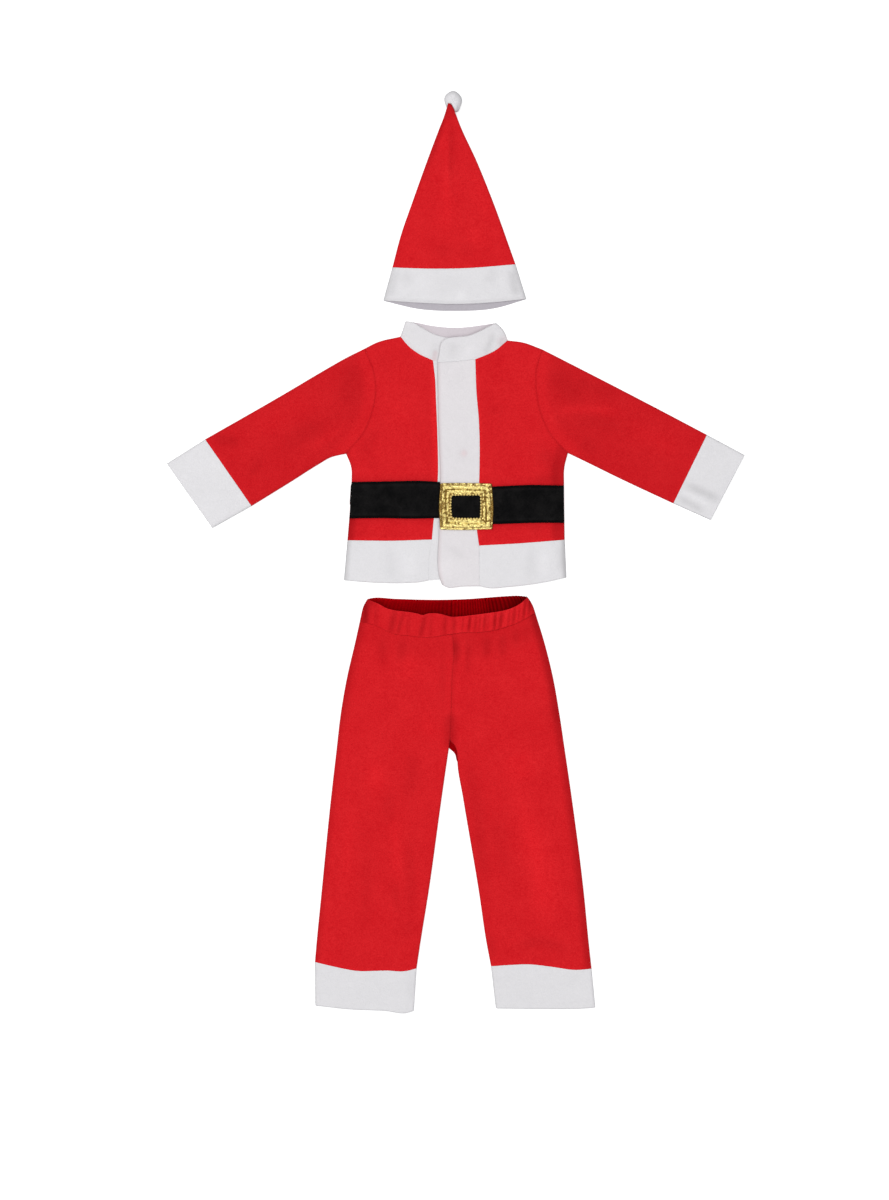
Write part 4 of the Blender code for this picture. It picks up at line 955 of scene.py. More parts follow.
ball = bmesh.new()
bmesh.ops.create_uvsphere(ball, u_segments=72, v_segments=48, radius=0.5)
floor = POMPOM_REST - 0.5
for vert in ball.verts:
    across, along, up = lumpy(np.array(vert.co))
    narrow = 1 - POMPOM_TAPER * (0.5 - along)
    x = POMPOM_MIDDLE.x + across * POMPOM_WIDTH * narrow + POMPOM_LEAN * (0.5 - along)
    y = POMPOM_MIDDLE.y + along * POMPOM_LENGTH
    z = (max(up, floor) - floor) * POMPOM_HEIGHT / (0.5 - floor)
    vert.co = (x * MM, y * MM, max(min(z, under_tip(x, y)), 0.0) * MM)
mesh = mesh_of("hat_pompom_ball", ball)
# painted shade, growing towards the ball's rim
pressed = mesh.attributes.new("pressed", "FLOAT", "POINT")
for vert in mesh.vertices:
    away = math.hypot(vert.co.x / MM - POMPOM_MIDDLE.x, vert.co.y / MM - POMPOM_MIDDLE.y)
    rim = (away / (POMPOM_WIDTH / 2)) ** 3
    pressed.data[vert.index].value = SHADE_LEVEL + BALL_SHADE[0] + BALL_SHADE[1] * rim
pompom = add_piece("hat_pompom_ball", mesh, "hat_pompom", WHITE)

# %% [markdown]
# ## The jacket
#
# The body is a back and two fronts, sewn at the sides and shoulders. Each sleeve is a tube folded
# at the top of the arm, set into its armhole, with a white cuff. The left front carries a hidden
# underlap, and the right front a wide white placket that closes over it. Bands of white fleece run
# along the hem.

# %% Seam lines of the jacket
NECK_LEFT = Point(-89.0, 344.0)
NECK_RIGHT = Point(82.4, 337.9)
ARM_TOP_LEFT = Point(-146.0, 324.8)
ARM_TOP_RIGHT = Point(137.9, 323.6)
UNDERARM_LEFT = Point(-176.0, 156.6)
UNDERARM_RIGHT = Point(179.1, 157.5)
HEM_SEAM_LEFT = Point(-173.8, 18.0)
HEM_SEAM_RIGHT = Point(174.0, 18.8)
HEM_LEFT = Point(-179.4, -46.0)
HEM_RIGHT = Point(176.6, -41.6)

UNDERARM_SHARE = 0.46  # where the corners of a panel's sides fall in its grid
SHOULDER_SHARE = 0.45
NECK_SHARES = (0.2, 0.8)
HEM_SHARE = 0.19

SHOULDER_LEFT = line(ARM_TOP_LEFT, (-127.6, 334.2), NECK_LEFT)
SHOULDER_RIGHT = line(NECK_RIGHT, (107.2, 334.6), ARM_TOP_RIGHT)
ARMHOLE_LEFT = line(
    UNDERARM_LEFT, (-145.4, 194.1), (-135.0, 220.6), (-128.2, 256.2), (-132.0, 288.8), ARM_TOP_LEFT,
)
ARMHOLE_RIGHT = line(
    UNDERARM_RIGHT, (150.6, 188.2), (135.7, 220.6), (128.3, 259.2), (128.3, 288.8), ARM_TOP_RIGHT,
)
SIDE_LEFT = line(HEM_SEAM_LEFT, (-170.8, 54.7), (-167.2, 111.2), (-167.8, 135.0), UNDERARM_LEFT)
SIDE_RIGHT = line(HEM_SEAM_RIGHT, (173.6, 47.2), (173.0, 105.6), (173.6, 135.2), UNDERARM_RIGHT)
NECK_BACK = line(NECK_LEFT, (-62.0, 327.0), (-3.0, 319.0), (55.0, 323.0), NECK_RIGHT)

LEFT_EDGE_TOP = Point(-36.8, 305.7)
LEFT_EDGE_LOW = Point(-38.6, 19.2)
HEM_SPLIT_LEFT = Point(-44.0, -46.2)
NECK_FRONT_LEFT = line(NECK_LEFT, (-75.5, 328.2), (-60.8, 317.1), LEFT_EDGE_TOP)
LEFT_EDGE = line(
    LEFT_EDGE_LOW, (-35.7, 50.0), (-29.4, 110.0), (-30.0, 194.0), (-32.0, 243.0), (-33.2, 274.0),
    LEFT_EDGE_TOP,
)
HEM_SEAM_FRONT_LEFT = line(HEM_SEAM_LEFT, (-100.0, 17.3), LEFT_EDGE_LOW)
HEM_SPLIT_LINE_LEFT = line(HEM_SPLIT_LEFT, (-43.5, -12.0), LEFT_EDGE_LOW)
HEM_LOW_LEFT = line(HEM_LEFT, (-147.2, -48.7), (-83.2, -50.5), (-57.6, -48.9), HEM_SPLIT_LEFT)

PLACKET_TOP_LEFT = Point(-30.0, 302.4)
PLACKET_TOP_RIGHT = Point(31.0, 307.3)
PLACKET_LOW_LEFT = Point(-23.0, -52.4)
PLACKET_LOW_RIGHT = Point(37.8, -55.5)
HEM_SPLIT_RIGHT = Point(36.9, 9.5)
PLACKET_FOLD = line(
    PLACKET_LOW_LEFT, (-25.2, -46.0), (-27.4, 34.0), (-25.2, 114.0), (-28.2, 210.0),
    PLACKET_TOP_LEFT,
)
PLACKET_SEAM_LOW = line(PLACKET_LOW_RIGHT, HEM_SPLIT_RIGHT)
PLACKET_SEAM = line(
    HEM_SPLIT_RIGHT, (33.3, 37.6), (37.2, 114.4), (36.6, 210.4), (32.8, 255.0), PLACKET_TOP_RIGHT,
)
PLACKET_TOP = line(PLACKET_TOP_LEFT, (-3.9, 303.4), PLACKET_TOP_RIGHT)
PLACKET_HEM = line(PLACKET_LOW_LEFT, (-17.0, -56.6), (10.0, -56.0), PLACKET_LOW_RIGHT)
NECK_FRONT_RIGHT = line(PLACKET_TOP_RIGHT, (43.2, 312.2), (61.6, 320.8), NECK_RIGHT)
HEM_SEAM_FRONT_RIGHT = line(HEM_SPLIT_RIGHT, (98.4, 12.9), HEM_SEAM_RIGHT)
HEM_LOW_RIGHT = line(PLACKET_LOW_RIGHT, (52.5, -58.6), (83.5, -56.8), (142.7, -49.2), HEM_RIGHT)
HEM_SIDE_LEFT = line(HEM_LEFT, HEM_SEAM_LEFT)
HEM_SIDE_RIGHT = line(HEM_RIGHT, HEM_SEAM_RIGHT)
HEM_SEAM_BACK = line(HEM_SEAM_LEFT, (0.0, 14.0), HEM_SEAM_RIGHT)
HEM_LOW_BACK = line(HEM_LEFT, (-80.0, -44.0), (0.0, -42.5), (90.0, -44.0), HEM_RIGHT)

UNDERLAP_TOP_RIGHT = Point(18.0, 303.5)
UNDERLAP_LOW_RIGHT = Point(18.0, -44.3)
UNDERLAP_TOP = line(LEFT_EDGE_TOP, (-10.0, 302.5), UNDERLAP_TOP_RIGHT)
UNDERLAP_LOW = line(HEM_SPLIT_LEFT, (-20.0, -44.3), UNDERLAP_LOW_RIGHT)
UNDERLAP_EDGE = line(UNDERLAP_LOW_RIGHT, UNDERLAP_TOP_RIGHT)

SLEEVE_LOW_LEFT = line(
    UNDERARM_LEFT, (-200.6, 150.6), (-220.0, 139.6), (-263.6, 112.0), (-327.2, 72.8),
)
SLEEVE_TOP_LEFT = line(
    ARM_TOP_LEFT, (-176.0, 309.8), (-214.4, 287.9), (-272.8, 253.3), (-401.4, 179.6),
)
SLEEVE_LOW_RIGHT = line(UNDERARM_RIGHT, (191.5, 151.6), (268.7, 113.9), (347.7, 77.0))
SLEEVE_TOP_RIGHT = line(ARM_TOP_RIGHT, (205.0, 289.4), (303.1, 238.7), (401.5, 186.9))
CUFF_SEAM_LEFT = line((-327.2, 72.8), (-401.4, 179.6))
CUFF_SEAM_RIGHT = line((347.7, 77.0), (401.5, 186.9))
CUFF_END_LEFT = line((-389.9, 37.6), (-426.2, 88.9), (-462.8, 140.8))
CUFF_END_RIGHT = line((407.6, 50.2), (435.1, 102.7), (462.1, 154.4))

# %% Creases of the jacket
add_creases(
    # left sleeve: width, rise, points
    (20, -1.1, (-158, 306), (-168, 268), (-166, 225)),
    (20, 0.7, (-210, 252), (-270, 222), (-340, 180)),
    (15, -1.0, (-275, 160), (-245, 188), (-205, 206)),
    (9, 0.9, (-236, 160), (-205, 182), (-172, 200)),
    (8, -1.6, (-388, 180), (-366, 178), (-345, 172)),
    (8, -0.9, (-310, 150), (-330, 120)),
    # right sleeve
    (18, -1.2, (158, 300), (180, 262), (215, 246)),
    (12, -1.0, (190, 282), (225, 262), (268, 250)),
    (9, 1.4, (150, 222), (205, 228), (270, 222)),
    (14, -0.9, (178, 206), (222, 208), (270, 196)),
    (16, -0.8, (200, 180), (230, 160)),
    (18, 0.9, (270, 196), (320, 180), (370, 150)),
    (6, -2.4, (366, 108), (395, 96), (428, 80)),
    (4, 0.8, (360, 98), (385, 86), (412, 70)),
    (5, -2.0, (353, 88), (376, 76), (400, 61)),
    # body
    (12, -0.6, (-120, 320), (-110, 290)),
    (12, -1.0, (-128, 200), (-135, 180), (-155, 150)),
    (14, -1.8, (140, 166), (154, 140), (164, 118)),
    (7, -1.6, (124, 116), (148, 117), (172, 120)),
    (22, -0.6, (60, 235), (62, 215)),
    (22, 0.5, (-90, 250), (-85, 200)),
    (9, -0.6, (-150, 160), (-120, 125)),
    (9, -0.9, (129, 45), (127, 28)),
    (8, -0.8, (160, 42), (158, 20)),
    (14, -1.0, (-156, 50), (-150, 20)),
    # collar
    (5, -1.6, (-34, 304), (-34, 316), (-33, 328)),
    (9, -1.0, (-8, 310), (-4, 322), (-2, 336)),
    (6, 0.6, (16, 314), (28, 332)),
    (6, -1.7, (44, 314), (55, 332), (62, 352)),
    (6, -1.8, (72, 328), (78, 344)),
    # hem and placket
    (10, -0.7, (-106, 8), (-104, -20), (-100, -44)),
    (14, 0.5, (-75, 5), (-72, -45)),
    (9, -0.9, (121, 5), (121, -20), (118, -45)),
    (10, 0.7, (143, 5), (142, -42)),
    (7, -1.4, (168, 12), (170, -38)),
    (16, 0.7, (-36, -26), (0, -30)),
    (6, -0.7, (-10, 8), (2, -3), (16, -12)),
    (12, -0.4, (8, 170), (12, 157), (14, 140)),
)

# %% Heights at the closure
UNDERLAP_HEIGHT = 4.9
PLACKET_HEIGHT = 9.1
UNDERLAP_PRESSED = (-54.0, -22.0)  # the left front sinks between these two x
OVERLAP_RISE = (36.0, 84.0)  # the right front comes down to the left layer between these two x
PLACKET_FOLD_DROP = 2.2


def under_height(grid):
    """The left front and the underlap: pressed down where the placket lies on them."""
    pressed = ease(grid[..., 0], *UNDERLAP_PRESSED)
    return upper_height(grid) * (1 - pressed) + UNDERLAP_HEIGHT * pressed


def over_height(grid):
    """The placket and the right front: over the underlap, then down on the back."""
    lowered = ease(grid[..., 0], *OVERLAP_RISE)
    raised = PLACKET_HEIGHT + (creases(grid) + unevenness(grid)) / 2
    return raised * (1 - lowered) + upper_height(grid) * lowered


def drawn_in(grid, *seams):
    """The ditch and the puckers of a panel's sewn edges."""
    total = -ditch(grid, *seams)
    for seam in seams:
        total = total + pucker(grid, seam)
    return total


print("placket over the front:", round(PLACKET_HEIGHT - CROWN, 1), "mm")

# %% [markdown]
# The belt is sewn over both fronts and into the side seams. Its lines are named here, because shade
# is painted on the cloth beside it.

# %% Lines of the belt
BELT_LEFT_TOP = line(
    (-167.2, 111.2), (-130.0, 111.7), (-90.0, 112.6), (-60.0, 113.0), (-24.0, 111.2),
)
BELT_LEFT_LOW = line((-170.6, 52.9), (-124.0, 53.3), (-60.0, 52.7), (-24.0, 53.6))
BELT_RIGHT_TOP = line(
    (-19.5, 103.2), (61.6, 103.9), (87.0, 105.2), (119.0, 106.4), (151.0, 106.0), (172.8, 105.5),
)
BELT_RIGHT_LOW = line((-19.5, 43.6), (61.6, 43.7), (87.0, 44.6), (126.0, 45.8), (173.4, 45.7))
BELT_SHADE = ((0.13, 16, 0.1), (0.2, 3.6, 0.3))


def along(edges, shades):
    """Rows for beside(): every shade along every edge."""
    return [(edge, *shade) for edge in edges for shade in shades]


print("belt:", round(BELT_LEFT_TOP[0].y - BELT_LEFT_LOW[0].y, 1), "mm wide at the left seam")

# %% [markdown]
# ### Back and fronts
#
# The back is one panel that lies on the table, so it is coarse and nearly flat. Each front lies on
# it. Beside a seam a little light is painted on the pile, and at the sides, where the cloth rounds
# down, shade is painted on it. That painted shade is a number that every point of the mesh carries.

# %% The back
grid = panel(
    Side(HEM_SEAM_BACK),
    Side(SHOULDER_LEFT, NECK_BACK, SHOULDER_RIGHT, corners=NECK_SHARES),
    Side(SIDE_LEFT, ARMHOLE_LEFT, corners=(UNDERARM_SHARE,)),
    Side(SIDE_RIGHT, ARMHOLE_RIGHT, corners=(UNDERARM_SHARE,)),
    step=COARSE_STEP,
    corners=(NECK_SHARES, (UNDERARM_SHARE,)),
)
every = ("left", "right", "bottom", "top")
points = lower_layer(grid, SIDE_LEFT, SIDE_RIGHT, SHOULDER_LEFT, SHOULDER_RIGHT)
cloth("jacket_back", points, FLEECE_WALL, RED, cut_of(grid), TABLE, sewn=every, outward=-1)
print("jacket back:", CUTS["jacket_back"])

# %% The fronts
grid = panel(
    Side(HEM_SEAM_FRONT_LEFT),
    Side(SHOULDER_LEFT, NECK_FRONT_LEFT, corners=(SHOULDER_SHARE,)),
    Side(SIDE_LEFT, ARMHOLE_LEFT, corners=(UNDERARM_SHARE,)),
    Side(LEFT_EDGE),
    corners=((SHOULDER_SHARE,), (UNDERARM_SHARE,)),
)
height = under_height(grid) + drawn_in(grid, ARMHOLE_LEFT, NECK_FRONT_LEFT, HEM_SEAM_FRONT_LEFT)
points = upper_layer(grid, height, SIDE_LEFT, SHOULDER_LEFT)
# painted light beside the neck and hem seams and the placket's fold, painted shade at the side,
# below the belt at the side, by the armhole and beside the belt
nap_and_painted_shade = beside(
    points,
    (NECK_FRONT_LEFT, -0.12, 6), (HEM_SEAM_FRONT_LEFT, -0.12, 6), (PLACKET_FOLD, -0.2, 14, 0.5),
    (SIDE_LEFT, 0.1, 10), (SIDE_LEFT[:2], 0.35, 16, 0.3), (ARMHOLE_LEFT, 0.12, 3.5),
    *along((BELT_LEFT_TOP, BELT_LEFT_LOW), BELT_SHADE),
)
cut, on = cut_of(grid), ["jacket_back"]
cloth("jacket_front_left", points, FLEECE_WALL, RED, cut, on, sewn=every, nap_and_painted_shade=nap_and_painted_shade)

grid = panel(
    Side(HEM_SEAM_FRONT_RIGHT),
    Side(NECK_FRONT_RIGHT, SHOULDER_RIGHT, corners=(1 - SHOULDER_SHARE,)),
    Side(PLACKET_SEAM),
    Side(SIDE_RIGHT, ARMHOLE_RIGHT, corners=(UNDERARM_SHARE,)),
    corners=((1 - SHOULDER_SHARE,), (UNDERARM_SHARE,)),
)
seams = (ARMHOLE_RIGHT, NECK_FRONT_RIGHT, HEM_SEAM_FRONT_RIGHT, PLACKET_SEAM)
points = upper_layer(grid, over_height(grid) + drawn_in(grid, *seams), SIDE_RIGHT, SHOULDER_RIGHT)
# painted light beside the seams, painted shade at the side, by the armhole and beside the belt
nap_and_painted_shade = beside(
    points,
    *along(seams[1:], ((-0.12, 6),)), (SIDE_RIGHT, 0.26, 26, 0.5), (ARMHOLE_RIGHT, 0.1, 3.5),
    *along((BELT_RIGHT_TOP, BELT_RIGHT_LOW), BELT_SHADE),
)
cloth("jacket_front_right", points, FLEECE_WALL, RED, cut_of(grid), on, sewn=every, nap_and_painted_shade=nap_and_painted_shade)
print("fronts:", CUTS["jacket_front_left"], CUTS["jacket_front_right"])

# %% [markdown]
# Two pieces that are sewn together meet in a ditch, with the thread at its bottom. A row of thick
# red threads, sunk into the ditch of each armhole, closes it.

# %% Thread in the armhole seams
ARMHOLE_THREAD = {"length": 4.4, "pitch": 2.4, "thick": 0.8, "sunk": 0.5}


def sew_armhole(name, armhole, height, side, shoulder_seam):
    def surface(grid):
        sewn = height(grid) + drawn_in(grid, armhole)
        return upper_layer(grid, sewn, side, shoulder_seam)[..., 2]

    stitches(name, smooth_line(armhole)[2:-2], surface, RED_THREAD, **ARMHOLE_THREAD)


sew_armhole("armhole_left", ARMHOLE_LEFT, under_height, SIDE_LEFT, SHOULDER_LEFT)
sew_armhole("armhole_right", ARMHOLE_RIGHT, over_height, SIDE_RIGHT, SHOULDER_RIGHT)

# %% [markdown]
# ### Sleeves and cuffs
#
# A sleeve is one piece, folded along the top of the arm and seamed under it. Laid flat it is a tube
# of two layers, so its grid goes over the front, round the fold and back. The cuff is a second
# tube with its end turned in and sewn down.

# %% Sleeves and cuffs
SLEEVE_DARKENING = 0.13  # a little darker all over
SLEEVE_SEAM_SHADE = ((-0.13, 26, 0.4), (0.15, 2.6, 0.5))  # painted light by the armhole, painted shade along its seam
SLEEVE_ROUND = 7.0  # how far in from its folds a sleeve is round
CUFF_HEM = 3.2
CUFF_OPEN = 0.4  # a cuff stands this much fuller


def sew_sleeve(side, armhole, cuff_seam, cuff_end, low, top):
    """A sleeve and its cuff."""
    arm = panel(Side(armhole), Side(cuff_seam), Side(low), Side(top))
    height = upper_height(arm) + drawn_in(arm, armhole, cuff_seam)
    points = wrapped(arm, arm, height, (low, top), width=SLEEVE_ROUND)
    ends = ["bottom", "top"]
    # painted light by the armhole and the cuff seam, painted shade along the armhole seam
    nap_and_painted_shade = SLEEVE_DARKENING + beside(points, *along([armhole], SLEEVE_SEAM_SHADE), (cuff_seam, -0.1, 5))
    cloth("sleeve_" + side, points, FLEECE_WALL, RED, cut_of(arm, 2), TABLE, ends, nap_and_painted_shade=nap_and_painted_shade)
    lines = (line(cuff_seam[0], cuff_end[0]), line(cuff_seam[-1], cuff_end[-1]))
    inward = np.subtract(cuff_seam[0], cuff_end[0])
    inward = inward / math.hypot(*inward) * CUFF_HEM
    sewn_down = line(*[(x + inward[0], y + inward[1]) for x, y in cuff_end])

    def surface(grid):
        edge = ditch(grid, cuff_end, **HEM_EDGE) + ditch(grid, sewn_down, **HEM_STITCHES)
        return upper_height(grid) + drawn_in(grid, cuff_seam) - edge + CUFF_OPEN

    cuff = panel(Side(cuff_seam), Side(cuff_end), *map(Side, lines))
    points = wrapped(cuff, cuff, surface(cuff), lines)
    name = "sleeve_cuff_" + side
    cut = cut_of(cuff, 2)
    cloth(name, points, BAND_WALL, WHITE, cut, TABLE, sewn=["bottom"], inside=SHADED_WHITE_INSIDE)
    stitches(name + "_stitches", smooth_line(sewn_down)[1:-1], surface, WHITE_THREAD)


folds = (SLEEVE_LOW_LEFT, SLEEVE_TOP_LEFT)
sew_sleeve("left", ARMHOLE_LEFT, CUFF_SEAM_LEFT, CUFF_END_LEFT, *folds)
folds = (SLEEVE_LOW_RIGHT, SLEEVE_TOP_RIGHT)
sew_sleeve("right", ARMHOLE_RIGHT, CUFF_SEAM_RIGHT, CUFF_END_RIGHT, *folds)

# %% [markdown]
# ### Hem bands
#
# The hem is bound with a white band in three pieces, one below each front and one below the back.
# Its low edge is turned up, so it is round there.

# %% Hem bands
sides = (Side(HEM_SIDE_LEFT), Side(HEM_SPLIT_LINE_LEFT))
grid = panel(Side(HEM_LOW_LEFT), Side(HEM_SEAM_FRONT_LEFT), *sides)
height = under_height(grid) + drawn_in(grid, HEM_SEAM_FRONT_LEFT)
height -= ditch(grid, HEM_LOW_LEFT, **TURNED_HEM)
points = upper_layer(grid, height, HEM_SIDE_LEFT)
# painted shade at the band's side
nap_and_painted_shade = beside(points, (HEM_SIDE_LEFT, 0.3, 10))
cut, on = cut_of(grid), ["hem_band_back"]
cloth("hem_band_left", points, FLEECE_WALL, WHITE, cut, on, sewn=["right", "top"], nap_and_painted_shade=nap_and_painted_shade)

sides = (Side(PLACKET_SEAM_LOW), Side(HEM_SIDE_RIGHT))
grid = panel(Side(HEM_LOW_RIGHT), Side(HEM_SEAM_FRONT_RIGHT), *sides)
height = over_height(grid) + drawn_in(grid, HEM_SEAM_FRONT_RIGHT, PLACKET_SEAM_LOW)
height -= ditch(grid, HEM_LOW_RIGHT, **TURNED_HEM)
points = upper_layer(grid, height, HEM_SIDE_RIGHT)
# painted shade at the band's side
nap_and_painted_shade = beside(points, (HEM_SIDE_RIGHT, 0.4, 9))
cloth("hem_band_right", points, FLEECE_WALL, WHITE, cut_of(grid), on, sewn=["left", "top"], nap_and_painted_shade=nap_and_painted_shade)

sides = (Side(HEM_SIDE_LEFT), Side(HEM_SIDE_RIGHT))
grid = panel(Side(HEM_LOW_BACK), Side(HEM_SEAM_BACK), *sides, step=COARSE_STEP)
points = lower_layer(grid, HEM_SIDE_LEFT, HEM_SIDE_RIGHT)
cloth("hem_band_back", points, FLEECE_WALL, WHITE, cut_of(grid), TABLE, sewn=["top"], outward=-1)
print("jacket cuts:", {name: cut for name, cut in CUTS.items() if "hat" not in name})

# %% [markdown]
# ## Closure and collar
#
# The placket closes with a round patch of hook-and-loop and a small one below it, hidden between
# the two layers. Through the soft band the round patch shows as a faint ring, and the small one as
# a small hollow, so the placket is given both.

# %% Underlap and placket
FASTENER_MARKS = ((1.0, 282.0, 12.5, 0.4), (12.0, 157.0, 5.0, 0.25))  # x, y, radius, rise
PINK_SPOT = Point(12.8, 157.0)  # where the red front glows through the band
PINK_SPOT_REACH = 5.0

sides = (Side(HEM_SPLIT_LINE_LEFT, LEFT_EDGE, corners=(HEM_SHARE,)), Side(UNDERLAP_EDGE))
split = ((), (HEM_SHARE,))
grid = panel(Side(UNDERLAP_LOW), Side(UNDERLAP_TOP), *sides, step=COARSE_STEP, corners=split)
points = with_height(grid, under_height(grid))
cloth("underlap", points, FLEECE_WALL, WHITE, cut_of(grid), ["jacket_back"], sewn=["left", "top"])


def placket_surface(grid):
    height = over_height(grid) + drawn_in(grid, PLACKET_SEAM, PLACKET_SEAM_LOW, PLACKET_TOP)
    for x, y, radius, rise in FASTENER_MARKS:
        away = np.hypot(grid[..., 0] - x, grid[..., 1] - y)
        height += rise * (1 - ease(away, radius - 1.5, radius + 1.0))
        height -= rise * bell(away - radius - 1.5, 1.6)
    height -= ditch(grid, PLACKET_HEM, **TURNED_HEM)
    return height - PLACKET_FOLD_DROP * (1 - shoulder(grid, PLACKET_FOLD, width=4.0))


sides = (Side(PLACKET_FOLD), Side(PLACKET_SEAM_LOW, PLACKET_SEAM, corners=(HEM_SHARE,)))
grid = panel(Side(PLACKET_HEM), Side(PLACKET_TOP), *sides, step=FINE_STEP, corners=split)
points = with_height(grid, placket_surface(grid))
away = np.hypot(grid[..., 0] - PINK_SPOT.x, grid[..., 1] - PINK_SPOT.y)
# a faint pink all over, the red front showing through at the spot, and painted red light beside the
# fold
show_through_and_painted_red_light = 0.07 + 0.32 * bell(away, PINK_SPOT_REACH) + beside(grid, (PLACKET_FOLD, 0.12, 8))
# painted shade beside the fold
nap_and_painted_shade = beside(points, (PLACKET_FOLD, 0.16, 6))
cut, on, sewn = cut_of(grid), ["underlap"], ["right", "top"]
cloth("placket", points, BAND_WALL, WHITE, cut, on, sewn, nap_and_painted_shade=nap_and_painted_shade, show_through_and_painted_red_light=show_through_and_painted_red_light)
print("placket:", CUTS["placket"])

# %% [markdown]
# The two patches themselves are plain thin discs of hook-and-loop between the layers, with a
# slightly worn upper edge. A cone with nearly equal ends gives just that.

# %% Fasteners
FASTENERS = (("fastener_upper", 1.0, 282.0, 12.5), ("fastener_lower", 10.5, 157.0, 6.0))
FASTENER_THICK = 0.9
FASTENER_WORN = 0.25
FASTENER_SPACE = 0.3  # over the underlap

for name, x, y, radius in FASTENERS:
    disc = bmesh.new()
    bmesh.ops.create_cone(
        disc, cap_ends=True, segments=64, radius1=radius * MM,
        radius2=(radius - FASTENER_WORN) * MM, depth=FASTENER_THICK * MM,
    )
    middle = UNDERLAP_HEIGHT + FASTENER_SPACE + FASTENER_THICK / 2
    bmesh.ops.translate(disc, verts=disc.verts, vec=(x * MM, y * MM, middle * MM))
    add_piece(name + "_patch", mesh_of(name + "_patch", disc), name, LOOPS)
print("fasteners:", [name for name, *_ in FASTENERS])

# %% [markdown]
# ### The collar
#
# A stand collar is one straight strip, folded double and sewn round the neck. Laid flat it turns at
# both sides of the neck, so its grid runs over three stretches: from the underlap round the left,
# along the back, and round the right to the tab that laps over the left end.

# %% Lines of the collar
COLLAR_LEFT_TOP = Point(-80.8, 368.5)
COLLAR_RIGHT_TOP = Point(64.0, 365.8)
COLLAR_END_TOP = Point(19.0, 339.5)
COLLAR_LEFT_SHARE = 0.42
COLLAR_RIGHT_SHARE = 0.48
TAB_TOP = Point(-19.8, 338.6)
COLLAR_LEFT_RIM = line(
    COLLAR_END_TOP, (-11.8, 342.0), (-24.2, 344.6), (-40.2, 350.4), (-52.0, 357.2), (-60.0, 361.8),
    (-70.0, 367.0), COLLAR_LEFT_TOP,
)
COLLAR_BACK_RIM = line(
    COLLAR_LEFT_TOP, (-62.0, 366.2), (-42.0, 362.0), (-2.1, 358.3), (49.3, 363.5), COLLAR_RIGHT_TOP,
)
COLLAR_RIGHT_RIM = line(
    COLLAR_RIGHT_TOP, (49.3, 358.2), (34.7, 350.9), (18.7, 345.0), (2.9, 343.4), (-11.0, 341.9),
    TAB_TOP,
)
COLLAR_LEFT_FOLD = line(NECK_LEFT, COLLAR_LEFT_TOP)
COLLAR_RIGHT_FOLD = line(NECK_RIGHT, (78.2, 350.2), (71.9, 359.0), COLLAR_RIGHT_TOP)
COLLAR_LEFT_END = line(UNDERLAP_TOP_RIGHT, COLLAR_END_TOP)
TAB_END = line(PLACKET_TOP_LEFT, (-26.8, 319.0), (-24.2, 332.6), TAB_TOP)
print("collar:", round(COLLAR_RIGHT_TOP.x - COLLAR_LEFT_TOP.x), "mm across its folds")

# %% The collar
left = panel(
    Side(UNDERLAP_TOP[::-1], NECK_FRONT_LEFT[::-1], corners=(COLLAR_LEFT_SHARE,)),
    Side(COLLAR_LEFT_RIM),
    Side(COLLAR_LEFT_END),
    Side(COLLAR_LEFT_FOLD),
    step=FINE_STEP,
    corners=((COLLAR_LEFT_SHARE,), ()),
)
sides = (Side(COLLAR_LEFT_FOLD), Side(COLLAR_RIGHT_FOLD))
back = panel(Side(NECK_BACK), Side(COLLAR_BACK_RIM), *sides, like=left)
right = panel(
    Side(NECK_FRONT_RIGHT[::-1], PLACKET_TOP[::-1], corners=(COLLAR_RIGHT_SHARE,)),
    Side(COLLAR_RIGHT_RIM),
    Side(COLLAR_RIGHT_FOLD),
    Side(TAB_END),
    like=left,
    corners=((COLLAR_RIGHT_SHARE,), ()),
)


def collar_surface(grid):
    edge = ditch(grid, COLLAR_RIGHT_RIM, depth=1.0, width=1.8)
    edge += ditch(grid, TAB_END, depth=1.6, width=2.0)
    return over_height(grid) + drawn_in(grid, PLACKET_TOP, NECK_FRONT_RIGHT) - edge


under = under_height(left) + drawn_in(left, NECK_FRONT_LEFT) - SEAM_HEIGHT
under -= ditch(left, COLLAR_LEFT_RIM, depth=1.0, width=1.8)
over = collar_surface(right) - SEAM_HEIGHT
pieces = (
    with_height(left, SEAM_HEIGHT + under * shoulder(left, COLLAR_LEFT_FOLD)),
    with_height(back, SEAM_HEIGHT * (1 - shoulder(back, COLLAR_LEFT_FOLD, COLLAR_RIGHT_FOLD)))[1:],
    with_height(right, SEAM_HEIGHT + over * shoulder(right, COLLAR_RIGHT_FOLD))[1:],
)
widths, lengths, areas = zip(*(cut_of(grid) for grid in (left, back, right)))
cut, on = (sum(widths), max(lengths), sum(areas)), ["jacket_back", "jacket_front_left"]
points = np.concatenate(pieces)
# painted red light on the white beside the red neck seams, and painted pink shade left of the tab
# and at the right end
show_through_and_painted_red_light = 0.02 + beside(
    points,
    (NECK_FRONT_LEFT, 0.1, 7), (NECK_FRONT_RIGHT, 0.1, 7),
    (line((-36, 302), (-33, 318)), 0.3, 6), (line((70, 336), (80, 342)), 0.12, 9),
)
cloth("collar", points, FLEECE_WALL, WHITE, cut, on, ["bottom"], inside=SHADED_COLLAR_INSIDE, show_through_and_painted_red_light=show_through_and_painted_red_light)
print("collar:", CUTS["collar"])

# %% [markdown]
# ## Belt and buckle
#
# The belt is a strip of black felt, folded double, topstitched near both edges and sewn to the
# fronts. The buckle is a soft frame of gold lame over padding: stitched round its outer edge,
# puffed between, and closed along the opening with a scalloped edge.

# %% The belt
BELT_WALL = 1.0
BELT_RISE = 2.0  # its top over the cloth below
BELT_EDGE_SHADE = ((1.0, 4.6, 0.5), (-0.2, 10.0, 0.7))  # painted shade at its very edge, painted light beside it
BELT_HEM = 3.0  # from its edges to its stitches
BELT_WAVES = 1.7  # felt is stiff, so its own unevenness is low and short


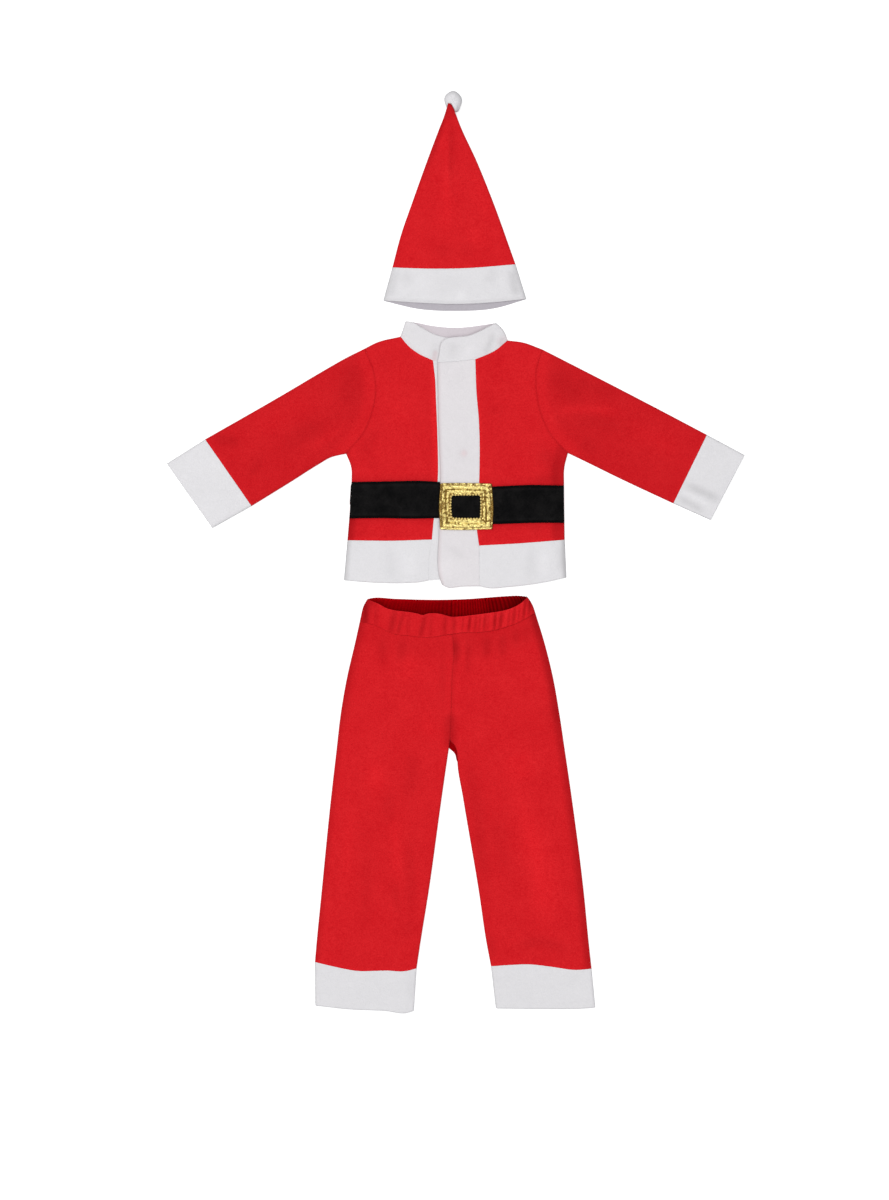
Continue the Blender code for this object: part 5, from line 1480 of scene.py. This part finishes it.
def sew_belt(name, low, top, below, on):
    """One side of the belt, over the height of the cloth below it."""
    rows = {"low": [(x, y + BELT_HEM) for x, y in low], "top": [(x, y - BELT_HEM) for x, y in top]}

    def surface(grid):
        edge = ditch(grid, low, top, depth=0.7, width=1.3)
        sewn = ditch(grid, *rows.values(), depth=0.3, width=1.2)
        return below(grid) + BELT_RISE - edge - sewn + 0.3 * unevenness(grid * BELT_WAVES)

    ends = (Side([low[0], top[0]]), Side([low[-1], top[-1]]))
    grid = panel(Side(low), Side(top), *ends, step=FINE_STEP)
    points = with_height(grid, surface(grid))
    nap_and_painted_shade = beside(points, *along((low, top), BELT_EDGE_SHADE))
    cloth(name, points, BELT_WALL, BLACK, cut_of(grid), on, nap_and_painted_shade=nap_and_painted_shade)
    for row, course in rows.items():
        name_of_row = f"{name}_stitches_{row}"
        stitches(name_of_row, smooth_line(course), surface, BLACK_THREAD, thick=0.5)


def left_cloth(grid):
    return upper_layer(grid, under_height(grid), SIDE_LEFT)[..., 2]


def right_cloth(grid):
    return upper_layer(grid, over_height(grid), SIDE_RIGHT)[..., 2]


on = ["placket", "jacket_front_right"]
sew_belt("belt_left", BELT_LEFT_LOW, BELT_LEFT_TOP, left_cloth, ["jacket_front_left"])
sew_belt("belt_right", BELT_RIGHT_LOW, BELT_RIGHT_TOP, right_cloth, on)

# %% [markdown]
# The buckle's grid is a ring: it goes round the frame in small steps, and from the outer edge to
# the opening in rows. A profile gives each row its height. Where the ends of the ring meet, a Weld
# modifier joins them.

# %% Lines of the buckle
BUCKLE_CORNERS = line((-25.2, 109.4), (57.4, 108.6), (58.4, 35.6), (-25.6, 34.8))
BUCKLE_MIDDLES = line((16.0, 109.6), (59.9, 71.0), (17.0, 34.2), (-27.4, 70.0))
OPENING_CORNERS = line((-7.2, 89.4), (38.8, 90.0), (38.8, 53.2), (-6.4, 53.8))
OPENING_MIDDLES = line((16.0, 89.8), (39.3, 72.0), (17.0, 53.0), (-8.0, 70.0))
SIDE_STEPS = 64  # grid squares along each side of the frame
LINE_STEPS = 180  # for the lines of its stitches
BORDER_ROWS = 33
BUCKLE_RISE = 3.0  # its lowest places over the belt
BUCKLE_SIZE = (86.0, 75.5)
OPENING_SIZE = (45.5, 34.5)
BUCKLE_WALL = 0.8
STITCH_SHARE = 0.18  # where the topstitching runs, as a share of the border
ZIGZAG_SHARE = 0.96
PROFILE = (  # share of the border from the outer edge, height in mm
    (0.0, -1.0), (0.03, 0.0), (0.1, 0.5), (0.18, -0.1), (0.25, 1.2), (0.33, 1.9), (0.42, 1.6),
    (0.5, 0.6), (0.56, -0.4), (0.62, 0.8), (0.7, 1.5), (0.78, 1.0), (0.84, 0.1), (0.92, 0.5),
    (0.97, 0.2), (1.0, -0.6),
)


def frame_loop(corners, middles, steps):
    """Four gently bowed sides, closed, with the corners rubbed round."""
    sides = []
    for index, middle in enumerate(middles):
        side = Side([corners[index], middle, corners[(index + 1) % 4]])
        sides.append(side.at(np.arange(steps) / steps))
    points = np.concatenate(sides)
    for _ in range(3):
        points = (np.roll(points, 1, axis=0) + 2 * points + np.roll(points, -1, axis=0)) / 4
    return np.concatenate([points, points[:1]])


print("rows over the border:", BORDER_ROWS)

# %% The buckle
outer = frame_loop(BUCKLE_CORNERS, BUCKLE_MIDDLES, SIDE_STEPS)
inner = frame_loop(OPENING_CORNERS, OPENING_MIDDLES, SIDE_STEPS)
border = np.linspace(0, 1, BORDER_ROWS)
wander = 0.035 * np.sin(np.arange(len(outer)) / 19.0 + 1.0)[:, None]  # the crease isn't straight
shares_in = border + wander * np.sin(math.pi * border)
grid = outer[:, None, :] + (inner - outer)[:, None, :] * border[:, None]
shape = np.array(PROFILE)
profile = np.interp(shares_in, shape[:, 0], shape[:, 1])


def wrinkles(grid, border):
    """Small diagonal draws in the lame, strongest beside the stitching."""
    course = (grid[..., 0] * 0.8 + grid[..., 1] * 0.6) * FULL_TURN / 5.3
    cross = (grid[..., 0] * 0.5 - grid[..., 1] * 0.9) * FULL_TURN / 4.1
    wave = np.sin(course + 1.5 * np.sin(cross / 2.7)) * np.sin(cross + np.sin(course / 3.1))
    return 0.42 * wave * ease(border, 0.02, 0.12) * (1 - ease(border, 0.8, 0.9))


points = with_height(grid, over_height(grid) + BUCKLE_RISE + profile + wrinkles(grid, border))
width, length = BUCKLE_SIZE
cut = (width * MM, length * MM, (width * length - math.prod(OPENING_SIZE)) * MM * MM)
middle = Point(16.0, 72.0)
aside = np.abs((grid[..., 0] - middle.x) / (width / 2))
side_bar = aside > np.abs((grid[..., 1] - middle.y) / 37.5)
sunk = np.clip(0.9 - profile, 0, 1) * 0.55 - 0.3 + 0.38 * side_bar  # painted shade in the hollows and on the side bars, so that the long bars look lit
# painted shade towards the opening
sunk += 0.45 * ease(border, 0.84, 0.92)
LOW_FOLD_SHADE = line((5.0, 41.5), (28.0, 44.0), (50.0, 48.5))  # painted shade of a fold in the lower bar
# and painted light along the lower bar
sunk += beside(points, (LOW_FOLD_SHADE, 0.4, 2.2)) - 0.14 * (1 - ease(grid[..., 1], 44, 54))
buckle = cloth("buckle", points, BUCKLE_WALL, GOLD, cut, ["belt_right"], nap_and_painted_shade=sunk)
weld = buckle.modifiers.new("ring", "WELD")
weld.merge_threshold = 0.01 * MM
print("buckle: darkest share", round(float(sunk.max()), 2))


# %% Stitches of the buckle
def sew_buckle(name, share, finish, **thread_size):
    """Stitches along an inner line of the buckle, at a share of its border."""
    rise = np.interp(share, shape[:, 0], shape[:, 1])
    outside = frame_loop(BUCKLE_CORNERS, BUCKLE_MIDDLES, LINE_STEPS)
    course = outside + (frame_loop(OPENING_CORNERS, OPENING_MIDDLES, LINE_STEPS) - outside) * share

    def surface(grid):
        return over_height(grid) + BUCKLE_RISE + rise

    stitches(name, course, surface, finish, **thread_size)


BRONZE_STITCH = {"length": 2.3, "pitch": 3.5, "thick": 1.3, "sunk": 0.0}
GOLD_SCALLOP = {"length": 3.7, "pitch": 4.6, "thick": 3.2, "sunk": 1.0}
sew_buckle("buckle_stitches", STITCH_SHARE, BRONZE_THREAD, **BRONZE_STITCH)
sew_buckle("buckle_zigzag", ZIGZAG_SHARE, GOLD_THREAD, **GOLD_SCALLOP)

# %% [markdown]
# ## The trousers
#
# Each leg has a front and a back panel, joined at the outer side, at the inseam and at the centre.
# The waist is a casing round an elastic, so it draws up in gathers, and its back stands above its
# front. White cuffs finish the legs.

# %% Seam lines of the trousers
WAIST_LEFT = Point(-142.0, -76.4)
WAIST_RIGHT = Point(114.5, -73.0)
WAIST_SEAM_LEFT = Point(-153.8, -111.4)
WAIST_SEAM_RIGHT = Point(127.0, -98.5)
WAIST_SEAM_FRONT = Point(-6.0, -132.0)
WAIST_SEAM_BACK = Point(-8.0, -119.0)
CROTCH_FRONT = Point(-9.6, -303.0)
CROTCH_BACK = Point(-11.4, -314.6)
CROTCH_SHARE = 0.65
CUFF_OUTER_LEFT = Point(-225.8, -656.8)
CUFF_INNER_LEFT = Point(-63.0, -667.0)
CUFF_INNER_RIGHT = Point(56.0, -663.6)
CUFF_OUTER_RIGHT = Point(217.0, -667.6)

WAIST_SIDE_LEFT = line(WAIST_SEAM_LEFT, (-152.2, -104.0), (-148.0, -87.4), WAIST_LEFT)
WAIST_SIDE_RIGHT = line(WAIST_SEAM_RIGHT, (123.2, -87.2), (120.0, -80.8), WAIST_RIGHT)
WAIST_TOP_FRONT = line(
    WAIST_LEFT, (-124.0, -83.6), (-110.9, -90.6), (-97.6, -94.1), (-84.3, -95.6), (-62.9, -98.9),
    (-52.3, -101.5), (-46.5, -99.5), (-28.3, -99.2), (-6.9, -104.2), (9.1, -103.6), (25.1, -101.8),
    (49.1, -98.6), (73.1, -95.0), (89.3, -90.4), (101.6, -84.0), WAIST_RIGHT,
)
WAIST_TOP_BACK = line(
    WAIST_LEFT, (-136.0, -74.8), (-97.6, -75.7), (-57.6, -77.0), (-17.6, -77.2), (22.4, -75.8),
    (49.1, -73.8), (73.1, -72.0), (107.0, -71.6), WAIST_RIGHT,
)
WAIST_SEAM_FRONT_LEFT = line(
    WAIST_SEAM_LEFT, (-128.0, -118.7), (-100.3, -132.0), (-77.9, -134.6), (-49.3, -137.6),
    WAIST_SEAM_FRONT,
)
WAIST_SEAM_FRONT_RIGHT = line(
    WAIST_SEAM_FRONT, (7.8, -130.2), (35.7, -129.4), (49.0, -128.2), (61.9, -126.2), (80.0, -121.0),
    (99.7, -113.6), WAIST_SEAM_RIGHT,
)
WAIST_SEAM_BACK_LEFT = line(WAIST_SEAM_LEFT, (-80.0, -117.0), WAIST_SEAM_BACK)
WAIST_SEAM_BACK_RIGHT = line(WAIST_SEAM_BACK, (60.0, -111.0), WAIST_SEAM_RIGHT)
CENTRE_FRONT = line(CROTCH_FRONT, (-8.2, -270.0), (-6.0, -198.0), (-3.0, -150.0), WAIST_SEAM_FRONT)
CENTRE_BACK = line(CROTCH_BACK, (-8.0, -220.0), WAIST_SEAM_BACK)
OUTER_LEFT = line(
    CUFF_OUTER_LEFT, (-223.0, -624.8), (-215.4, -548.0), (-200.0, -394.4), (-191.2, -317.6),
    (-184.5, -260.0), (-174.6, -202.6), (-161.2, -144.8), WAIST_SEAM_LEFT,
)
OUTER_RIGHT = line(
    CUFF_OUTER_RIGHT, (212.3, -624.8), (204.8, -548.0), (185.3, -394.4), (174.1, -317.6),
    (165.5, -260.0), (155.4, -202.4), (141.2, -144.8), WAIST_SEAM_RIGHT,
)
INSEAM_LEFT = line(
    CUFF_INNER_LEFT, (-56.7, -624.8), (-44.3, -548.0), (-22.9, -394.4), (-14.6, -336.8),
)
INSEAM_RIGHT = line(
    CUFF_INNER_RIGHT, (48.6, -624.8), (37.2, -548.0), (11.3, -394.4), (2.2, -336.8),
)
FRONT_INSEAM_LEFT = line(*INSEAM_LEFT, CROTCH_FRONT)
FRONT_INSEAM_RIGHT = line(*INSEAM_RIGHT, (2.0, -326.0), (-2.0, -311.0), CROTCH_FRONT)
BACK_INSEAM_LEFT = line(*INSEAM_LEFT, CROTCH_BACK)
BACK_INSEAM_RIGHT = line(*INSEAM_RIGHT, (0.4, -326.6), CROTCH_BACK)
LEG_CUFF_SEAM_LEFT = line(
    CUFF_INNER_LEFT, (-80.0, -671.2), (-112.0, -670.4), (-160.0, -670.8), (-192.0, -664.8),
    CUFF_OUTER_LEFT,
)
LEG_CUFF_SEAM_RIGHT = line(
    CUFF_INNER_RIGHT, (89.6, -661.3), (113.6, -660.4), (153.6, -664.5), (190.4, -669.3),
    CUFF_OUTER_RIGHT,
)
LEG_CUFF_LOW_LEFT = line(
    (-67.5, -735.0), (-80.0, -738.7), (-112.0, -735.3), (-170.0, -732.7), (-225.2, -726.7),
)
LEG_CUFF_LOW_RIGHT = line((63.8, -731.2), (134.4, -732.1), (201.6, -731.5), (223.0, -730.0))
print("waist:", round(WAIST_SEAM_RIGHT.x - WAIST_SEAM_LEFT.x), "mm across its seam")

# %% Creases of the trousers
add_creases(
    # short ones below the waist, left to right: width, rise, points
    (7, -1.2, (-117, -138), (-117, -189)),
    (8, -1.4, (-85, -138), (-87, -185)),
    (4, -0.4, (-107, -187), (-80, -189), (-51, -190)),
    (5, -1.5, (2.7, -142), (2.5, -184)),
    (5, -1.4, (21, -142), (20, -200)),
    (4, 0.6, (12, -140), (12, -180)),
    (6, -1.6, (50.7, -134), (50, -173)),
    (6, -1.4, (75, -130), (76, -173)),
    (6, -1.3, (96, -122), (97, -150)),
    (7, -0.9, (112, -116), (116, -150)),
    (18, 1.0, (-92, -168), (-62, -200)),
    # beside the centre seam
    (7, 0.7, (0, -190), (-1, -245), (-3, -300)),
    (5, -0.9, (-20, -150), (-21, -200), (-20, -250)),
    (4, -1.2, (-1, -140), (-2, -170)),
    (12, 0.9, (-48, -272), (-36, -296)),
    # right leg
    (12, -1.3, (18, -320), (32, -400), (44, -500), (50, -560)),
    (14, -0.8, (62, -420), (82, -520)),
    (24, 1.2, (92, -320), (112, -372)),
    (24, 1.5, (108, -410), (128, -470), (142, -540), (146, -612)),
    (12, 0.6, (94, -366), (112, -430), (126, -488), (133, -568)),
    (9, -1.4, (98, -634), (135, -626), (180, -640)),
    (8, -1.3, (54, -612), (60, -655)),
    (16, -0.9, (150, -240), (166, -300)),
    # left leg
    (16, 1.3, (-128, -336), (-128, -388)),
    (13, -1.1, (-68, -317), (-74, -404)),
    (11, -1.0, (-108, -385), (-104, -440)),
    (10, 1.2, (-98, -420), (-92, -530)),
    (6, -1.0, (-100, -527), (-90, -588)),
    (9, -0.9, (-74, -460), (-70, -590)),
    (9, -0.7, (-140, -470), (-146, -610)),
    (10, 0.7, (-168, -400), (-178, -560)),
    (12, -0.6, (-75, -590), (-76, -620)),
    # left cuff
    (9, -0.5, (-70, -672), (-71, -730)),
)

# %% [markdown]
# ### Gathers
#
# Elastic draws a casing up into narrow folds. A few are deep and most are shallow, and they lean a
# little, so each one is listed. Below the seam they run out as short dents in the legs.

# %% Gathers of the waist
Gather = namedtuple("Gather", "x width depth lean")
GATHERS = [
    Gather(*row)
    for row in (
        (-145, 4.0, 0.8, 0), (-128, 4.0, 0.5, 2), (-102, 5.0, 0.9, 8), (-90, 3.2, 0.8, 12),
        (-76, 3.0, 0.4, 4), (-54, 4.0, 0.9, 9), (-40, 3.0, 0.4, 3), (-18, 3.5, 0.7, 2),
        (-3, 3.5, 0.9, 1), (11, 2.5, 0.6, 2), (21, 2.4, 1.3, 4), (31, 2.0, 1.0, 2.5),
        (37.5, 1.8, 0.8, 2), (46, 2.0, 1.2, 2.5), (51, 1.7, 0.7, 2), (62, 2.4, 1.4, 2.5),
        (71.5, 3.2, 1.3, 5), (85, 2.0, 0.8, 2), (92.5, 2.2, 1.2, 3), (101, 2.0, 0.6, 3),
        (109, 2.6, 1.2, 3), (117, 2.2, 0.9, 4),
    )
]
GATHER_ROOT = 0.35  # the share of the casing's height where a gather stands at its x
GATHER_FADE = 12.0  # how far below the seam the gathers run out
TIGHT = (-40, 10)  # between these two x the seam gets tighter


def gathered(grid, up, spread=1.0):
    """The depth of the gathers at each place: narrow folds, leaning as they rise."""
    depth = np.zeros(grid.shape[:-1])
    for gather in GATHERS:
        away = grid[..., 0] - gather.x - gather.lean * (up - GATHER_ROOT)
        depth += gather.depth * bell(away, spread * gather.width)
    return depth


def waist_ditch(grid, seam, loose, tight):
    """The ditch along the waist's seam, deeper where the elastic draws more."""
    draw = loose + tight * ease(grid[..., 0], *TIGHT)
    return draw * ditch(grid, seam, depth=1.0, width=2.0)


def gather_swell(grid, seam):
    """The gathers of the waist go on a little below its seam."""
    fade = np.exp(-distance_to(grid, seam) / GATHER_FADE)
    return -0.9 * gathered(grid, 0.0, 1.7) * fade - waist_ditch(grid, seam, 0.3, 0.35)


print("gathers:", len(GATHERS))

# %% Legs
ROLL_OUTER_RIGHT = 14.0  # the right leg's outer side rounds down over this width
ROLL_OUTER_LEFT = 8.0
ROLL_SHADE = {"right": (0.33, 17), "left": (0.16, 12)}  # how dark the rolls are, and how far in
WAIST_SHADE = {"right": (0.12, 50, 0.3), "left": (0.08, 50, 0.3)}
CENTRE_SHADE = {"right": (0.14, 9), "left": (0.14, 3.5)}
HIP_SHADE = (0.13, 20)
CROTCH_SHADE = (0.24, 16)


def sew_leg(side, cuff_seam, waist_seam, back_waist, inseam, back_inseam, outer, roll):
    """The front and the back panel of a leg."""
    left_side = side == "left"
    share = (CROTCH_SHARE,)

    def leg_panel(waist, inner_seam, centre, step):
        inner = Side(inner_seam, centre, corners=share)
        sides = (Side(outer), inner) if left_side else (inner, Side(outer))
        cuff = cuff_seam[::-1] if left_side else cuff_seam
        return panel(Side(cuff), Side(waist), *sides, step=step, corners=((), share))

    parted = ["bottom", "top", "right" if left_side else "left"]
    grid = leg_panel(waist_seam, inseam, CENTRE_FRONT, STEP)
    height = upper_height(grid) + drawn_in(grid, cuff_seam, CENTRE_FRONT)
    height += gather_swell(grid, waist_seam)
    low = SEAM_HEIGHT + SIDE_GAP / 2
    rolled = shoulder(grid, outer, width=roll) * shoulder(grid, inseam)
    points = with_height(grid, low + (height - low) * rolled)
    front, back = "trouser_front_" + side, "trouser_back_" + side
    # painted shade at the outer roll, the hip, the crotch, the waist seam and the centre seam,
    # painted light by the cuff seam
    nap_and_painted_shade = beside(
        points,
        (outer, *ROLL_SHADE[side]), (cuff_seam, -0.1, 5), (CENTRE_FRONT[:2], *CROTCH_SHADE),
        (outer[-4:], *HIP_SHADE), (waist_seam, *WAIST_SHADE[side]),
        (CENTRE_FRONT, *CENTRE_SHADE[side]),
    )
    cloth(front, points, FLEECE_WALL, RED, cut_of(grid), [back], sewn=parted, nap_and_painted_shade=nap_and_painted_shade)
    grid = leg_panel(back_waist, back_inseam, CENTRE_BACK, COARSE_STEP)
    points = lower_layer(grid, outer, inseam)
    lining = {"outward": -1, "inside": SHADED_RED_INSIDE}
    cloth(back, points, FLEECE_WALL, RED, cut_of(grid), TABLE, sewn=parted, **lining)
    print(side, "leg:", CUTS[front], CUTS[back])


left = (LEG_CUFF_SEAM_LEFT, WAIST_SEAM_FRONT_LEFT, WAIST_SEAM_BACK_LEFT)
sew_leg("left", *left, FRONT_INSEAM_LEFT, BACK_INSEAM_LEFT, OUTER_LEFT, ROLL_OUTER_LEFT)
right = (LEG_CUFF_SEAM_RIGHT, WAIST_SEAM_FRONT_RIGHT, WAIST_SEAM_BACK_RIGHT)
sew_leg("right", *right, FRONT_INSEAM_RIGHT, BACK_INSEAM_RIGHT, OUTER_RIGHT, ROLL_OUTER_RIGHT)

# %% [markdown]
# ### Waistband
#
# The casing swells between its seam and its top, and the gathers cut into it. Laid flat, the mouth
# of the trousers stands open: the front sags below the back, whose inside shows. Light hardly
# reaches in there, so shade is painted on the back's inner side, as a deeper red.

# %% Front of the waistband
WAISTBAND_WALL = 2.2
WAISTBAND_HEIGHT = 8.4
WAISTBAND_SWELL = (0.15, 0.9)  # the casing's round from seam to top, in parts of half a turn
WAISTBAND_ROUND = 7.0
WAISTBAND_STEP = 1.5
STRETCH = 1.25  # the casing's cut is longer than it lies, being gathered
KNOT = Point(-7.0, -101.0)  # where the elastic's ends are sewn together
CENTRE_SPLIT = (0.53,)


def waistband_panel(seams, top):
    sides = (Side(WAIST_SIDE_LEFT), Side(WAIST_SIDE_RIGHT))
    corners = (CENTRE_SPLIT, ())
    seam = Side(*seams, corners=CENTRE_SPLIT)
    return panel(seam, Side(top), *sides, step=WAISTBAND_STEP, corners=corners)


def gathered_cut(grid):
    width, length, area = cut_of(grid)
    return width * STRETCH, length, area * STRETCH


grid = waistband_panel((WAIST_SEAM_FRONT_LEFT, WAIST_SEAM_FRONT_RIGHT), WAIST_TOP_FRONT)
x = grid[..., 0]
up = np.linspace(0, 1, grid.shape[1])[None, :]
# small wrinkles between the gathers, which are deepest half way up
small = np.sin(x * FULL_TURN / 5.1 + 1.7 * np.sin(x / 9.0) - 2.2 * up)
drawn = 1.9 * gathered(grid, up) + (0.1 + 0.16 * ease(x, -20, 20)) * (1 + small)
drawn *= 0.45 + 0.55 * np.sin(math.pi * np.clip(up * 1.05, 0, 1)) ** 0.7
start, end = WAISTBAND_SWELL
swollen = np.sin(math.pi * (start + (end - start) * up))
seams = line(*WAIST_SEAM_FRONT_LEFT, *WAIST_SEAM_FRONT_RIGHT[1:])
height = CROWN + (WAISTBAND_HEIGHT - CROWN) * swollen - drawn + 0.6 * unevenness(grid)
height -= waist_ditch(grid, seams, 0.2, 0.3)
sides = (WAIST_SIDE_LEFT, WAIST_SIDE_RIGHT)
points = upper_layer(grid, height, *sides, width=WAISTBAND_ROUND)
# painted shade in the gathers, at the elastic's knot and at both sides, painted light on the right
# half
nap_and_painted_shade = 0.2 * drawn + 0.4 * bell(np.hypot(x - KNOT.x, grid[..., 1] - KNOT.y), 5.0)
nap_and_painted_shade -= 0.12 * ease(x, -20, 10)
nap_and_painted_shade += beside(points, (WAIST_SIDE_LEFT, 0.4, 20, 0.3), (WAIST_SIDE_RIGHT, 0.4, 14))
cut, on = gathered_cut(grid), ["waistband_back"]
cloth("waistband_front", points, WAISTBAND_WALL, RED, cut, on, sewn=["bottom"], nap_and_painted_shade=nap_and_painted_shade)
print("waistband, front:", CUTS["waistband_front"])

# %% Back of the waistband
BACK_GATHERS = 27
CENTRE_X = -7.0

grid = waistband_panel((WAIST_SEAM_BACK_LEFT, WAIST_SEAM_BACK_RIGHT), WAIST_TOP_BACK)
x = grid[..., 0]
across = np.linspace(0, 1, grid.shape[0])[:, None]
folds = np.sin(FULL_TURN * (BACK_GATHERS * across + 0.35 * np.sin(19 * across))) ** 2
drawn_up = 0.3 + 0.7 * ease(x, -30, 20)  # the right half is drawn up more
points = lower_layer(grid, *sides)
points[..., 2] += 1.3 * folds * drawn_up
shaded = bell(distance_to(grid, WAIST_TOP_FRONT), 7.0)
rim = bell(distance_to(grid, WAIST_TOP_BACK), 4.5)
# painted shade below the front's top edge, in the folds' hollows and towards the right, a dark line
# at the centre, and painted light on the folds' crests, on the left and along the top rim
nap_and_painted_shade = 0.34 - 0.8 * (folds - 0.5) * drawn_up + 0.25 * shaded + 0.3 * bell(x - CENTRE_X, 1.6)
nap_and_painted_shade += 0.35 * ease(x, 35, 60) + 0.3 * ease(x, 75, 100) - 0.12 * (1 - ease(x, -110, -30)) - 0.5 * rim
lining = {"outward": -1, "inside": SHADED_RED_INSIDE}
cut = gathered_cut(grid)
cloth("waistband_back", points, WAISTBAND_WALL, RED, cut, TABLE, ["bottom"], nap_and_painted_shade=nap_and_painted_shade, **lining)
print("waistband, back:", CUTS["waistband_back"])

# %% [markdown]
# A leg's cuff is a tube like a sleeve's, closed flat by its own weight, with a round hem.


# %% Leg cuffs
def sew_leg_cuff(side, seam, low):
    lines = (line(seam[0], low[0]), line(seam[-1], low[-1]))
    grid = panel(Side(seam), Side(low), *map(Side, lines))
    height = upper_height(grid) + drawn_in(grid, seam) - ditch(grid, low, depth=1.2, width=2.0)
    points = wrapped(grid, grid, height, lines)
    cut, name = cut_of(grid, 2), "leg_cuff_" + side
    cloth(name, points, BAND_WALL, WHITE, cut, TABLE, sewn=["bottom"], inside=SHADED_WHITE_INSIDE)


sew_leg_cuff("left", LEG_CUFF_SEAM_LEFT, LEG_CUFF_LOW_LEFT)
sew_leg_cuff("right", LEG_CUFF_SEAM_RIGHT, LEG_CUFF_LOW_RIGHT)

# %% [markdown]
# ## What was cut
#
# The list gives the width, the length and the area of each piece of cloth, in metres.

# %% Sizes and finish
for name, cut in CUTS.items():
    print("cut of", name, cut)
